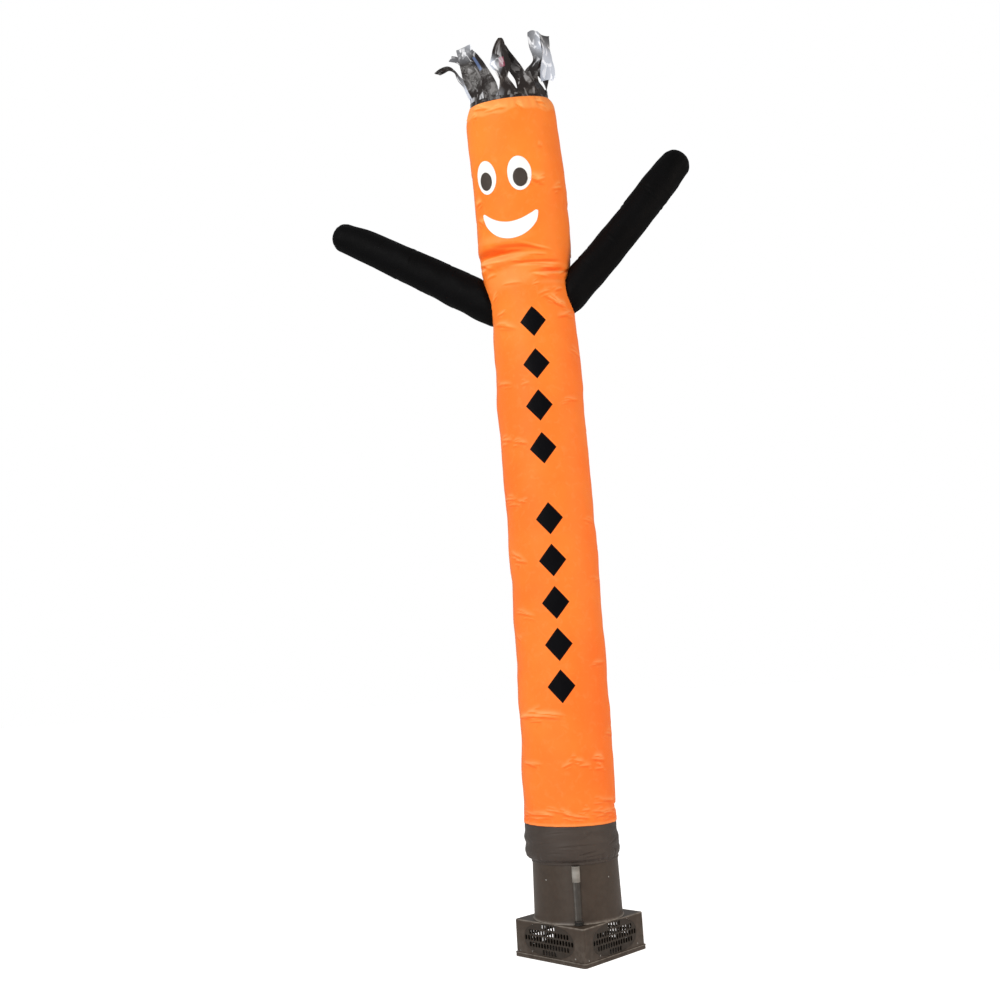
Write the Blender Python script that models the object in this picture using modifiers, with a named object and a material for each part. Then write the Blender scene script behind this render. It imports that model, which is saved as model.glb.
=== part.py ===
"""An inflatable air dancer, standing inflated on the electric blower that it is tied to.

Metres, +Z up. The origin is the centre of the blower's flat underside. The dancer's print faces -Y
and its arms point along X; its cloth turns a little towards -X on the way up, and the head bows
forward over a buckled neck. The blower stands with one corner to the front.
"""

import math

import bmesh
import bpy
import numpy as np
from mathutils import Matrix, Vector

# Cloth
CLOTH = 0.0015  # thickness of the nylon tube, cuff and arms
PATCH = 0.0010  # thickness of the sewn-on eyes, pupils and smile
GAP = 0.0003  # what touching pieces keep between them
OVERSHOOT = 0.01  # how far cutters reach past what they cut
TUBE_SIDES = 28  # flats round the big tube
ARM_SIDES = 18

# The big tube, from its hem over the cuff to the top of the head
HEM = 0.667
CROWN = 4.622  # where the orange cloth ends and the dark band of the hair begins
BAND_TOP = 4.672
BAND_INSET = 0.0026  # the band lies this far inside the crown's outside
LAP = 0.018  # how far the cuff and the hair band run inside the tube
HEM_STEP = 0.004  # below the hem, where the cuff comes out to the tube's size
TUBE_COLUMNS = ("height", "aside", "back", "half_width", "half_depth")
TUBE_SECTIONS = (
    (0.600, -0.014, 0.000, 0.2425, 0.2425),
    (0.800, -0.009, 0.000, 0.2475, 0.2460),
    (1.050, -0.005, 0.000, 0.2445, 0.2450),
    (1.600, -0.006, 0.000, 0.2430, 0.2460),
    (2.250, -0.012, 0.000, 0.2425, 0.2465),
    (2.900, -0.027, 0.002, 0.2435, 0.2455),
    (3.300, -0.031, 0.006, 0.2420, 0.2465),
    (3.500, -0.038, 0.006, 0.2370, 0.2500),
    (3.660, -0.056, -0.004, 0.2450, 0.2420),
    (3.800, -0.064, -0.030, 0.2620, 0.2250),
    (3.950, -0.066, -0.078, 0.2640, 0.2230),
    (4.200, -0.077, -0.160, 0.2630, 0.2240),
    (4.450, -0.097, -0.240, 0.2570, 0.2320),
    (4.560, -0.104, -0.275, 0.2500, 0.2350),
    (4.600, -0.107, -0.287, 0.2380, 0.2250),
    (4.622, -0.109, -0.294, 0.2260, 0.2130),
    (4.672, -0.111, -0.311, 0.2210, 0.2070),
    (4.740, -0.114, -0.335, 0.2150, 0.2010),
)
# Rings of the tube's mesh: closest together at the hem, the neck and the crown
RING_RUNS = ((0.667, 0.685, 1), (0.685, 0.860, 5), (0.860, 3.440, 10), (3.440, 3.560, 2), (3.560, 3.920, 12),
             (3.920, 4.440, 4), (4.440, 4.560, 2), (4.560, 4.604, 2), (4.604, 4.622, 1))
# Buckles of the neck and the pinch over the hem. A positive depth is a trough, a negative one a ridge.
BUCKLE_COLUMNS = ("height", "azimuth", "reach", "softness", "depth", "climb")
BUCKLES = (
    # height of the fold's middle; azimuth from -Y towards +X and half reach in degrees; climb towards +X
    (3.822, -44, 70, 0.024, 0.036, 0.026),
    (3.885, -36, 72, 0.040, -0.010, 0.020),
    (3.765, -46, 58, 0.026, -0.009, 0.026),
    (3.716, 38, 50, 0.018, 0.016, 0.020),
    (3.620, 34, 44, 0.022, 0.008, 0.010),
    (0.742, 95, 42, 0.016, 0.010, 0.000),
)

# Arms: sections from inside the shoulder to the tip
ARM_PASSAGE = 0.072  # radius of the hole through which the tube blows up each arm
ARM_COLUMNS = ("out", "height", "radius")
ARMS = {
    "arm_left": {
        "side": -1,
        "turn": 12,
        "sections": (
            (0.10, 3.490, 0.116), (0.28, 3.603, 0.114), (0.55, 3.775, 0.107), (0.82, 3.942, 0.100),
            (1.04, 4.074, 0.092), (1.10, 4.105, 0.086), (1.142, 4.126, 0.070), (1.164, 4.137, 0.044),
        ),
    },
    "arm_right": {
        "side": 1,
        "turn": 12,
        "sections": (
            (0.06, 3.377, 0.104), (0.20, 3.528, 0.102), (0.436, 3.781, 0.099), (0.65, 4.012, 0.096),
            (0.83, 4.213, 0.093), (0.876, 4.262, 0.086), (0.904, 4.291, 0.068), (0.920, 4.308, 0.042),
        ),
    },
}
ARM_TIP_ROUND = 0.018  # how far the tip's middle stands past the last section
SHOULDER = 3.57  # height of the tube's section from whose middle the arms' sections are measured
PASSAGE_OUT = 0.24  # where the passage's middle is
PASSAGE_LENGTH = 0.30

# Cuff that slips over the blower's outlet
CUFF_SECTIONS = (
    # height, radius and shift aside
    (0.474, 0.2290, 0.000), (0.486, 0.2292, 0.000), (0.492, 0.2340, -0.004), (0.499, 0.2425, -0.008),
    (0.510, 0.2470, -0.010), (0.545, 0.2490, -0.010), (0.600, 0.2470, -0.012), (0.640, 0.2440, -0.013),
)

# Face: cut-outs sewn on the head, placed from the face's centre line and the eyes' middle line
FACE_TURN = 25
FACE_SKIN = (3.60, 4.50)  # heights between which the cut-outs' cloth is taken
FACE_AROUND = (-100, 60)  # and azimuths
FACE_HEIGHT = 4.240  # where the eyes' middle line crosses the tube's centre line
EYES = {
    # across, up, half width, half height; then the pupil's own
    "left": {"white": (-0.103, 0.002, 0.063, 0.090), "pupil": (-0.106, -0.018, 0.038, 0.049)},
    "right": {"white": (0.087, -0.002, 0.061, 0.091), "pupil": (0.090, -0.024, 0.037, 0.050)},
}
SMILE_HALF_WIDTH = 0.156
SMILE_TIPS = -0.198  # below the eyes' middle line
SMILE_UPPER_DIP = 0.055
SMILE_LOWER_DIP = 0.134
SMILE_BLUNT = 0.012  # height of the grin's corners
SMILE_TILT = -0.053  # it hangs a little lower on the dancer's left

# Hair: film streamers fused to a band round the head's mouth
STREAMER = 0.0012
ROOT_THICK = 0.0050
ROOT_DEPTH = 0.012
ROOT_RISE = 0.016
STREAMER_STEPS = 11
STREAMER_COLUMNS = ("travel", "x", "y", "z", "twist")
STREAMERS = (
    # azimuth of the root and width; then the strip's way: aside, ahead and up from the middle of the band's
    # mouth, with its twist in degrees
    (-76, 0.042, ((-0.232, 0.070, 0.030, 30), (-0.271, 0.080, 0.071, 40), (-0.300, 0.075, 0.122, 20),
                  (-0.333, 0.060, 0.148, 30), (-0.364, 0.055, 0.140, 60), (-0.396, 0.060, 0.115, 80))),
    (-98, 0.034, ((-0.216, -0.030, 0.059, 25), (-0.222, -0.040, 0.151, 60), (-0.246, -0.040, 0.226, 80),
                  (-0.283, -0.036, 0.257, 90), (-0.318, -0.030, 0.262, 95))),
    (-54, 0.088, ((-0.192, 0.120, 0.043, 26), (-0.220, 0.125, 0.128, 50), (-0.244, 0.120, 0.231, 40))),
    (-28, 0.062, ((-0.128, 0.190, 0.015, 25), (-0.166, 0.180, 0.106, 36), (-0.207, 0.170, 0.178, 30))),
    (-4, 0.092, ((-0.050, 0.230, 0.000, 12), (-0.062, 0.220, 0.077, 26), (-0.046, 0.200, 0.165, 20),
                 (-0.028, 0.190, 0.225, 50))),
    (26, 0.070, ((0.064, 0.170, 0.045, -26), (0.026, 0.150, 0.119, -30), (-0.010, 0.135, 0.194, -10),
                 (-0.022, 0.130, 0.252, 30))),
    (52, 0.064, ((0.128, 0.120, 0.046, -50), (0.145, 0.115, 0.106, -66), (0.169, 0.110, 0.158, -60),
                 (0.160, 0.105, 0.238, -52), (0.154, 0.105, 0.317, -64))),
    (80, 0.074, ((0.200, 0.010, 0.110, -40), (0.206, -0.015, 0.240, -72), (0.211, -0.012, 0.325, -82),
                 (0.216, 0.030, 0.345, -84), (0.221, 0.058, 0.290, -84), (0.227, 0.068, 0.162, -80),
                 (0.224, 0.062, 0.036, -74))),
    (112, 0.055, ((0.192, -0.170, 0.110, -14), (0.196, -0.250, 0.160, -26), (0.186, -0.330, 0.150, -40))),
    (146, 0.070, ((0.130, -0.250, 0.120, 16), (0.145, -0.330, 0.170, 34), (0.150, -0.400, 0.150, 50))),
    (180, 0.060, ((0.000, -0.270, 0.130, -16), (-0.020, -0.350, 0.190, -28), (-0.030, -0.430, 0.210, -40))),
    (214, 0.075, ((-0.140, -0.240, 0.120, 16), (-0.170, -0.310, 0.160, 26), (-0.200, -0.380, 0.150, 30))),
    (246, 0.050, ((-0.192, -0.170, 0.100, -10), (-0.200, -0.250, 0.130, -18), (-0.190, -0.320, 0.100, -26))),
)

# Blower: outlet duct on a square housing with a vent field in each side, standing in a tray
SIDE = 0.478
HOUSING_TOP = 0.185
HOUSING_WALL = 0.0045
CORNER = 0.014
EDGE = 0.006
EDGE_STEPS = 3
BLOWER_TURN = 45
TRAY_SIDE = 0.490
TRAY_CORNER = 0.018
TRAY_FLOOR = 0.0040
TRAY_LIP = 0.022
DUCT_TOP = 0.585
DUCT_WALL = 0.0040
DUCT_RADIUS_TOP = 0.2235
DUCT_RADIUS_FOOT = 0.2322
DUCT_EDGE = 0.0015
DUCT_FOOT_FLARE = 0.006
DUCT_FLARE_STEP = 0.0024  # the flare at a third of its height
DUCT_FLARE_HEIGHT = 0.018
DUCT_SIDES = 40
DUCT_SAGITTA = 0.0008  # a little more than a flat of the duct falls short of its circle
VENT_WIDTH = 0.344
VENT_HEIGHT = 0.146
VENT_MIDDLE = 0.103
VENT_SIDES = 28
VENT_SQUARENESS = 2.4
VENT_RIM = 0.003  # solid edge left round the slots
SLOT_WIDTH = 0.011
SLOT_HEIGHT = 0.021
SLOT_COLUMN = 0.0200
SLOT_ROW = 0.0310
CONDUIT_TURN = 3
CONDUIT_HALF_WIDTH = 0.0185
CONDUIT_DEPTH = 0.018  # of its round front
CONDUIT_SEAT = 0.004  # of its straight sides, off the duct
CONDUIT_INTO = 0.012  # drawn into the duct, then trimmed by it
CONDUIT_FOOT = 0.205
CONDUIT_TOP = 0.471
CLIP_HEIGHT = 0.078
CLIP = 0.0020
GROMMET_RADIUS = 0.023
GROMMET_OUT = 0.008  # of its middle, in front of the duct

OBJECT = bpy.data.collections.new("Air dancer")
CUTTERS = bpy.data.collections.new("Cutters")


# ---- small tools ---------------------------------------------------------------------------------


def material(name, colour, roughness, metallic=0.0):
    """A plain Principled finish."""
    made = bpy.data.materials.new(name)
    made.use_nodes = True
    shader = made.node_tree.nodes["Principled BSDF"]
    shader.inputs["Base Color"].default_value = (*colour, 1.0)
    shader.inputs["Roughness"].default_value = roughness
    shader.inputs["Metallic"].default_value = metallic
    return made


def add_object(name, mesh, finish=None, cutter=False):
    """An object for a mesh, among the cutters where it only shapes others."""
    made = bpy.data.objects.new(name, mesh)
    (CUTTERS if cutter else OBJECT).objects.link(made)
    if cutter:
        made.hide_render = True
        made.display_type = "WIRE"
    if finish:
        mesh.materials.append(finish)
    return made


def mesh_from(bm, name, smooth_angle=None):
    """A mesh from a bmesh, shaded smooth below an angle in degrees; a closed one's faces are turned out."""
    if all(edge.is_manifold for edge in bm.edges):
        bmesh.ops.recalc_face_normals(bm, faces=bm.faces)
    mesh = bpy.data.meshes.new(name)
    bm.to_mesh(mesh)
    bm.free()
    if smooth_angle:
        mesh.shade_smooth()
        mesh.set_sharp_from_angle(angle=math.radians(smooth_angle))
    return mesh


def loft(rings, closed=True, start_cap=False, end_cap=False, end_point=None):
    """A bmesh through rings of equally many points, open along its sides unless closed."""
    bm = bmesh.new()
    rows = [[bm.verts.new(point) for point in ring] for ring in rings]
    count = len(rows[0])
    for low, high in zip(rows, rows[1:]):
        for i in range(count if closed else count - 1):
            j = (i + 1) % count
            bm.faces.new((low[i], low[j], high[j], high[i]))
    if start_cap:
        bm.faces.new(list(reversed(rows[0])))
    if end_cap:
        bm.faces.new(rows[-1])
    if end_point is not None:
        tip = bm.verts.new(end_point)
        for i in range(count):
            bm.faces.new((rows[-1][i], rows[-1][(i + 1) % count], tip))
    return bm


def solidify(thing, thickness, offset):
    """Gives an open cloth surface its thickness: offset -1 inwards, 1 outwards, 0 both ways."""
    wall = thing.modifiers.new("Thickness", "SOLIDIFY")
    wall.thickness = thickness
    wall.offset = offset
    wall.use_even_offset = True
    wall.use_rim = True


def boolean(thing, tool, operation="DIFFERENCE"):
    """Cuts, joins or trims a piece with another."""
    cut = thing.modifiers.new(operation.title(), "BOOLEAN")
    cut.operation = operation
    cut.solver = "EXACT"
    cut.object = tool


def between(table, columns, at):
    """Named values at a height or distance, on a smooth curve through a table's rows."""
    rows = np.array(table, float)
    place = rows[:, 0]
    slopes = np.gradient(rows, place, axis=0)
    at = float(np.clip(at, place[0], place[-1]))
    i = min(int(np.searchsorted(place, at, side="right")) - 1, len(place) - 2)
    step = place[i + 1] - place[i]
    t = (at - place[i]) / step
    value = (
        (2 * t**3 - 3 * t**2 + 1) * rows[i]
        + (t**3 - 2 * t**2 + t) * step * slopes[i]
        + (3 * t**2 - 2 * t**3) * rows[i + 1]
        + (t**3 - t**2) * step * slopes[i + 1]
    )
    return dict(zip(columns, value))


def superellipse(half_width, half_height, count, power=2.0):
    """Points round an oval, squarer with a higher power."""
    points = []
    for i in range(count):
        angle = 2 * math.pi * i / count
        c, s = math.cos(angle), math.sin(angle)
        x = half_width * math.copysign(abs(c) ** (2 / power), c)
        y = half_height * math.copysign(abs(s) ** (2 / power), s)
        points.append((x, y))
    return points


def prism(name, outline, depth, place, cutter=True, finish=None):
    """A flat outline in the XY plane, drawn out by depth along Z both ways and put in its place."""
    bm = loft([[(x, y, z) for x, y in outline] for z in (-depth / 2, depth / 2)], start_cap=True, end_cap=True)
    bmesh.ops.transform(bm, matrix=place, verts=bm.verts)
    return add_object(name, mesh_from(bm, name), finish, cutter)


# ---- the tube's surface --------------------------------------------------------------------------


def tube_centre(height):
    """The middle of the tube's section at a height."""
    at = between(TUBE_SECTIONS, TUBE_COLUMNS, height)
    return Vector((at["aside"], at["back"], height))


def tube_axes(height):
    """The tube's section axes: to +X, to the back, and up along the tube."""
    step = 0.03
    up = (tube_centre(height + step) - tube_centre(height - step)).normalized()
    back = (Vector((0, 1, 0)) - up * up.y).normalized()
    return back.cross(up), back, up


def buckle_depth(height, azimuth):
    """How far the folds push the tube's surface in at a place."""
    total = 0.0
    for row in BUCKLES:
        fold = dict(zip(BUCKLE_COLUMNS, row))
        away = azimuth - fold["azimuth"]
        if abs(away) < fold["reach"]:
            middle = fold["height"] + fold["climb"] * away / fold["reach"]
            along = math.cos(math.pi / 2 * away / fold["reach"]) ** 2
            total += fold["depth"] * along * math.exp(-(((height - middle) / fold["softness"]) ** 2))
    return total


def tube_point(height, azimuth, out=0.0):
    """A point of the tube's surface; azimuth in degrees from -Y towards +X; out moves it off the cloth."""
    at = between(TUBE_SECTIONS, TUBE_COLUMNS, height)
    side, back, _ = tube_axes(height)
    angle = math.radians(azimuth)
    inward = buckle_depth(height, azimuth) - out
    across = (at["half_width"] - inward) * math.sin(angle)
    ahead = (at["half_depth"] - inward) * math.cos(angle)
    return tube_centre(height) + side * across - back * ahead


def azimuths():
    """The tube's flats, the same for all the pieces that lie on it."""
    return [360 * i / TUBE_SIDES - 180 for i in range(TUBE_SIDES)]


def ring_heights(low, high):
    """The tube's ring heights between two heights, both included."""
    heights = {round(low, 6), round(high, 6)}
    for start, stop, count in RING_RUNS:
        heights.update(round(start + (stop - start) * i / count, 6) for i in range(count + 1))
    return sorted(h for h in heights if low - 1e-9 <= h <= high + 1e-9)


def tube_skin(low, high, out=0.0, across=None):
    """The tube's surface between two heights, in the same triangles for all that lies on it."""
    around = across or azimuths()
    rings = [[tube_point(h, a, out) for a in around] for h in ring_heights(low, high)]
    bm = loft(rings, closed=across is None)
    bmesh.ops.triangulate(bm, faces=bm.faces, quad_method="FIXED")
    return bm


# ---- cloth pieces --------------------------------------------------------------------------------


def arm_point(arm, out, height):
    """A point in the plane in which an arm hangs, out from the tube's centre."""
    turn = math.radians(arm["turn"])
    shoulder = tube_centre(SHOULDER)
    return Vector((
        shoulder.x + arm["side"] * out * math.cos(turn),
        shoulder.y - arm["side"] * out * math.sin(turn),
        height,
    ))


def arm_frames(arm):
    """Centre, radius and the two cross directions at each of an arm's sections."""
    rows = [dict(zip(ARM_COLUMNS, row)) for row in arm["sections"]]
    centres = [arm_point(arm, row["out"], row["height"]) for row in rows]
    flat = Vector((math.sin(math.radians(arm["turn"])), math.cos(math.radians(arm["turn"])), 0))
    frames = []
    for i, row in enumerate(rows):
        along = (centres[min(i + 1, len(rows) - 1)] - centres[max(i - 1, 0)]).normalized()
        frames.append((centres[i], row["radius"], flat, along.cross(flat).normalized(), along))
    return frames


def make_arm(name, arm, finish, tube_space):
    """One arm: a closed sleeve of cloth, sewn on where the tube's wall cuts it off."""
    frames = arm_frames(arm)
    rings = []
    for centre, radius, flat, cross, _ in frames:
        angles = [2 * math.pi * i / ARM_SIDES for i in range(ARM_SIDES)]
        rings.append([centre + radius * (math.cos(a) * flat + math.sin(a) * cross) for a in angles])
    last, _, _, _, along = frames[-1]
    bm = loft(rings, end_point=last + along * ARM_TIP_ROUND)
    made = add_object(name, mesh_from(bm, name, 60), finish)
    solidify(made, CLOTH, -1)
    boolean(made, tube_space)
    return made


def passage(name, arm):
    """The hole in the tube's wall behind an arm."""
    first, second = arm_frames(arm)[:2]
    along = (second[0] - first[0]).normalized()
    turn = Vector((0, 0, 1)).rotation_difference(along).to_matrix().to_4x4()
    height = between(arm["sections"], ARM_COLUMNS, PASSAGE_OUT)["height"]
    place = Matrix.Translation(arm_point(arm, PASSAGE_OUT, height)) @ turn
    return prism(name, superellipse(ARM_PASSAGE, ARM_PASSAGE, 16), PASSAGE_LENGTH, place)


def make_tube(finish):
    """The big tube with its head in one, open at the hem and at the crown."""
    made = add_object("body_tube", mesh_from(tube_skin(HEM, CROWN), "body_tube", 60), finish)
    solidify(made, CLOTH, -1)
    for name, arm in ARMS.items():
        boolean(made, passage("cut_passage_" + name, arm))
    return made


def make_tube_space():
    """The tube's outside, a gap larger all round, which trims the arms' roots."""
    bm = tube_skin(HEM, CROWN, GAP)
    bmesh.ops.holes_fill(bm, edges=bm.edges)
    return add_object("cut_tube_space", mesh_from(bm, "cut_tube_space"), cutter=True)


def make_cuff(finish):
    """The dark cuff: its top lies inside the tube's hem, and its lower edge is drawn in round the duct."""
    inside = -(CLOTH + GAP)
    rings = []
    for height, radius, aside in CUFF_SECTIONS:
        turns = [math.radians(a) for a in azimuths()]
        rings.append([(aside + radius * math.sin(turn), -radius * math.cos(turn), height) for turn in turns])
    for height, out in ((HEM - HEM_STEP, 0.0), (HEM, inside), (HEM + LAP, inside)):
        rings.append([tube_point(height, a, out) for a in azimuths()])
    bm = loft(rings)
    bmesh.ops.triangulate(bm, faces=bm.faces, quad_method="FIXED")
    made = add_object("cuff", mesh_from(bm, "cuff", 60), finish)
    solidify(made, CLOTH, -1)
    return made


def face_frame():
    """Place of the face's middle: X across to the dancer's left, Y up along the head, Z out of the face."""
    side, back, up = tube_axes(FACE_HEIGHT)
    turn = math.radians(FACE_TURN)
    out = (-back * math.cos(turn) - side * math.sin(turn)).normalized()
    across = up.cross(out)
    frame = Matrix((across, up, out)).transposed().to_4x4()
    frame.translation = tube_centre(FACE_HEIGHT)
    return frame


def make_patch(name, outline, layer, finish):
    """A flat cut-out that lies on the head: the skin over the tube, trimmed to an outline."""
    lift = GAP + layer * (PATCH + GAP)
    across = [a for a in azimuths() if FACE_AROUND[0] < a < FACE_AROUND[1]]
    made = add_object(name, mesh_from(tube_skin(*FACE_SKIN, lift, across), name, 60), finish)
    solidify(made, PATCH, 1)
    place = face_frame() @ Matrix.Translation((0, 0, 0.30))
    boolean(made, prism("cut_" + name, outline, 0.50, place), "INTERSECT")
    return made


def moved(outline, across, up):
    return [(x + across, y + up) for x, y in outline]


def smile_outline():
    """A grin between two arcs, fuller below, with blunt corners."""
    count = 12
    fractions = [-1 + 2 * i / count for i in range(count + 1)]
    corners = [SMILE_TIPS + SMILE_TILT * SMILE_HALF_WIDTH * t for t in fractions]
    upper = [y - SMILE_UPPER_DIP * (1 - t**2) for t, y in zip(fractions, corners)]
    lower = [y - SMILE_BLUNT - SMILE_LOWER_DIP * (1 - t**2) ** 0.75 for t, y in zip(fractions, corners)]
    points = [(SMILE_HALF_WIDTH * t, y) for t, y in zip(fractions, lower)]
    return points + [(SMILE_HALF_WIDTH * t, y) for t, y in zip(fractions[::-1], upper[::-1])]


def streamer(azimuth, width, points):
    """One film streamer as a bmesh: a flat strip that follows its way and twists about it."""
    root_height = (CROWN + ROOT_DEPTH + BAND_TOP) / 2
    side, back, up = tube_axes(root_height)
    root = tube_point(root_height, azimuth, -BAND_INSET - CLOTH / 2) - up * ROOT_DEPTH
    mouth = tube_centre(BAND_TOP)
    stops = [(*root, 0), (*(root + up * ROOT_RISE), 0)]
    stops += [(mouth.x + aside, mouth.y - ahead, mouth.z + rise, twist) for aside, ahead, rise, twist in points]
    travel = [0.0]
    for one, two in zip(stops, stops[1:]):
        travel.append(travel[-1] + math.dist(one[:3], two[:3]))
    table = [(far, *stop) for far, stop in zip(travel, stops)]
    free = (travel[-1] - ROOT_RISE) / STREAMER_STEPS
    samples = [0.0] + [ROOT_RISE + free * i for i in range(STREAMER_STEPS + 1)]
    places = [between(table, STREAMER_COLUMNS, far) for far in samples]
    middles = [Vector((at["x"], at["y"], at["z"])) for at in places]
    turn = math.radians(azimuth)
    flat = side * math.cos(turn) + back * math.sin(turn)
    rings = []
    for i, (at, middle) in enumerate(zip(places, middles)):
        rooted = i < 2
        way = up if rooted else (middles[min(i + 1, len(middles) - 1)] - middles[i - 1]).normalized()
        flat = (flat - way * flat.dot(way)).normalized()
        wide = flat if rooted else Matrix.Rotation(math.radians(at["twist"]), 3, way) @ flat
        thin = way.cross(wide)
        half = width / 2
        deep = (ROOT_THICK if rooted else STREAMER) / 2
        rings.append([middle + wide * x * half + thin * y * deep for x, y in ((-1, -1), (1, -1), (1, 1), (-1, 1))])
    bm = loft(rings, start_cap=True, end_cap=True)
    backs = [face for i, face in enumerate(bm.faces) if i % 4 == 2 and len(rings) * 4 - 4 > i]
    bmesh.ops.triangulate(bm, faces=backs, quad_method="ALTERNATE")
    bmesh.ops.triangulate(bm, faces=bm.faces, quad_method="FIXED")
    return bm


def make_hair(finish):
    """The hair: a dark band inside the crown's edge with film streamers fused to it."""
    inside = -BAND_INSET
    heights = (CROWN - LAP, CROWN, CROWN + (BAND_TOP - CROWN) / 2, BAND_TOP)
    bm = loft([[tube_point(h, a, inside) for a in azimuths()] for h in heights])
    bmesh.ops.triangulate(bm, faces=bm.faces, quad_method="FIXED")
    made = add_object("hair", mesh_from(bm, "hair", 60), finish)
    solidify(made, CLOTH, -1)
    for i, (azimuth, width, points) in enumerate(STREAMERS):
        strip = mesh_from(streamer(azimuth, width, points), "streamer")
        strip = add_object(f"join_streamer_{i + 1}", strip, cutter=True)
        boolean(made, strip, "UNION")
    return made


# ---- blower --------------------------------------------------------------------------------------


def blower_turn(quarter=0):
    return Matrix.Rotation(math.radians(BLOWER_TURN + 90 * quarter), 4, "Z")


def rounded_square(side, corner, steps=4):
    """Points round a square with rounded corners."""
    half = side / 2 - corner
    points = []
    for cx, cy, start in ((half, half, 0), (-half, half, 90), (-half, -half, 180), (half, -half, 270)):
        for i in range(steps + 1):
            angle = math.radians(start + 90 * i / steps)
            points.append((cx + corner * math.cos(angle), cy + corner * math.sin(angle)))
    return points


def turned(outline, z):
    return [blower_turn() @ Vector((x, y, z)) for x, y in outline]


def make_housing(finish):
    """The moulded housing: four walls and a top in one shell, with the duct's hole and the vent windows cut."""
    foot = TRAY_FLOOR + GAP
    rings = [turned(rounded_square(SIDE, CORNER), foot)]
    for i in range(EDGE_STEPS + 1):
        angle = math.radians(90 * i / EDGE_STEPS)
        inset = EDGE * (1 - math.cos(angle))
        outline = rounded_square(SIDE - 2 * inset, CORNER - inset / 2)
        rings.append(turned(outline, HOUSING_TOP - EDGE + EDGE * math.sin(angle)))
    bm = loft(rings, end_cap=True)
    made = add_object("blower_housing", mesh_from(bm, "blower_housing", 40), finish)
    solidify(made, HOUSING_WALL, -1)
    hole = superellipse(DUCT_RADIUS_FOOT - DUCT_WALL, DUCT_RADIUS_FOOT - DUCT_WALL, DUCT_SIDES)
    deep = 2 * (HOUSING_WALL + OVERSHOOT)
    boolean(made, prism("cut_duct_hole", hole, deep, Matrix.Translation((0, 0, HOUSING_TOP))))
    for quarter in range(4):
        boolean(made, prism(f"cut_vent_{quarter + 1}", vent_outline(GAP), deep, vent_place(quarter)))
    return made


def vent_outline(larger=0.0):
    return superellipse(VENT_WIDTH / 2 + larger, VENT_HEIGHT / 2 + larger, VENT_SIDES, VENT_SQUARENESS)


def vent_place(quarter):
    """The middle of one side's vent field: X along the wall, Y up, Z outwards."""
    stand = Matrix.Rotation(math.radians(90), 4, "X")
    out = Matrix.Translation((0, -(SIDE / 2 - HOUSING_WALL / 2), VENT_MIDDLE))
    return blower_turn(quarter) @ out @ stand


def slot_places():
    """Middles of the slots that fit inside the vent field, every other row set half a column aside."""
    places = []
    rows = int(VENT_HEIGHT / 2 / SLOT_ROW) + 1
    columns = int(VENT_WIDTH / 2 / SLOT_COLUMN) + 1
    for row in range(-rows, rows + 1):
        for column in range(-columns, columns + 1):
            x = SLOT_COLUMN * (column + 0.5 * (row % 2))
            y = SLOT_ROW * row
            reach_x = (abs(x) + SLOT_WIDTH / 2) / (VENT_WIDTH / 2 - VENT_RIM)
            reach_y = (abs(y) + SLOT_HEIGHT / 2) / (VENT_HEIGHT / 2 - VENT_RIM)
            if reach_x**VENT_SQUARENESS + reach_y**VENT_SQUARENESS < 1.0:
                places.append((x, y))
    return places


def make_grille(quarter, finish):
    """One side's vent grille: an oval plate, flush in its window, with rows of upright slots."""
    made = prism(f"vent_grille_{quarter + 1}", vent_outline(), HOUSING_WALL, vent_place(quarter), False, finish)
    bm = bmesh.new()
    for x, y in slot_places():
        size = Matrix.Diagonal((SLOT_WIDTH, SLOT_HEIGHT, HOUSING_WALL + OVERSHOOT, 1))
        bmesh.ops.create_cube(bm, size=1, matrix=vent_place(quarter) @ Matrix.Translation((x, y, 0)) @ size)
    slots = add_object(f"cut_slots_{quarter + 1}", mesh_from(bm, "slots"), cutter=True)
    boolean(made, slots)
    return made


def make_tray(finish):
    """The tray under the blower: a flat floor with an upstand lip round the housing's foot."""
    outer = [turned(rounded_square(TRAY_SIDE, TRAY_CORNER), z) for z in (0, TRAY_LIP)]
    made = add_object("blower_tray", mesh_from(loft(outer, start_cap=True, end_cap=True), "blower_tray", 40), finish)
    well = rounded_square(SIDE + 2 * GAP, CORNER + GAP)
    inner = [turned(well, z) for z in (TRAY_FLOOR, TRAY_LIP + OVERSHOOT)]
    block = loft(inner, start_cap=True, end_cap=True)
    boolean(made, add_object("cut_tray", mesh_from(block, "cut_tray"), cutter=True))
    return made


def make_duct(finish):
    """The outlet duct: a slightly tapered cylinder with a flared foot, standing on the housing."""
    foot = HOUSING_TOP + GAP
    profile = (
        (DUCT_RADIUS_TOP - DUCT_EDGE, DUCT_TOP),
        (DUCT_RADIUS_TOP, DUCT_TOP - DUCT_EDGE),
        (DUCT_RADIUS_FOOT, foot + DUCT_FLARE_HEIGHT),
        (DUCT_RADIUS_FOOT + DUCT_FLARE_STEP, foot + DUCT_FLARE_HEIGHT / 3),
        (DUCT_RADIUS_FOOT + DUCT_FOOT_FLARE, foot),
        (DUCT_RADIUS_FOOT - DUCT_WALL, foot),
        (DUCT_RADIUS_TOP - DUCT_WALL, DUCT_TOP),
    )
    angles = [2 * math.pi * i / DUCT_SIDES for i in range(DUCT_SIDES)]
    rings = [[(r * math.cos(a), r * math.sin(a), z) for a in angles] for r, z in profile + profile[:1]]
    bm = loft(rings)
    bmesh.ops.remove_doubles(bm, verts=bm.verts, dist=1e-6)
    return add_object("outlet_duct", mesh_from(bm, "outlet_duct", 40), finish)


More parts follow.
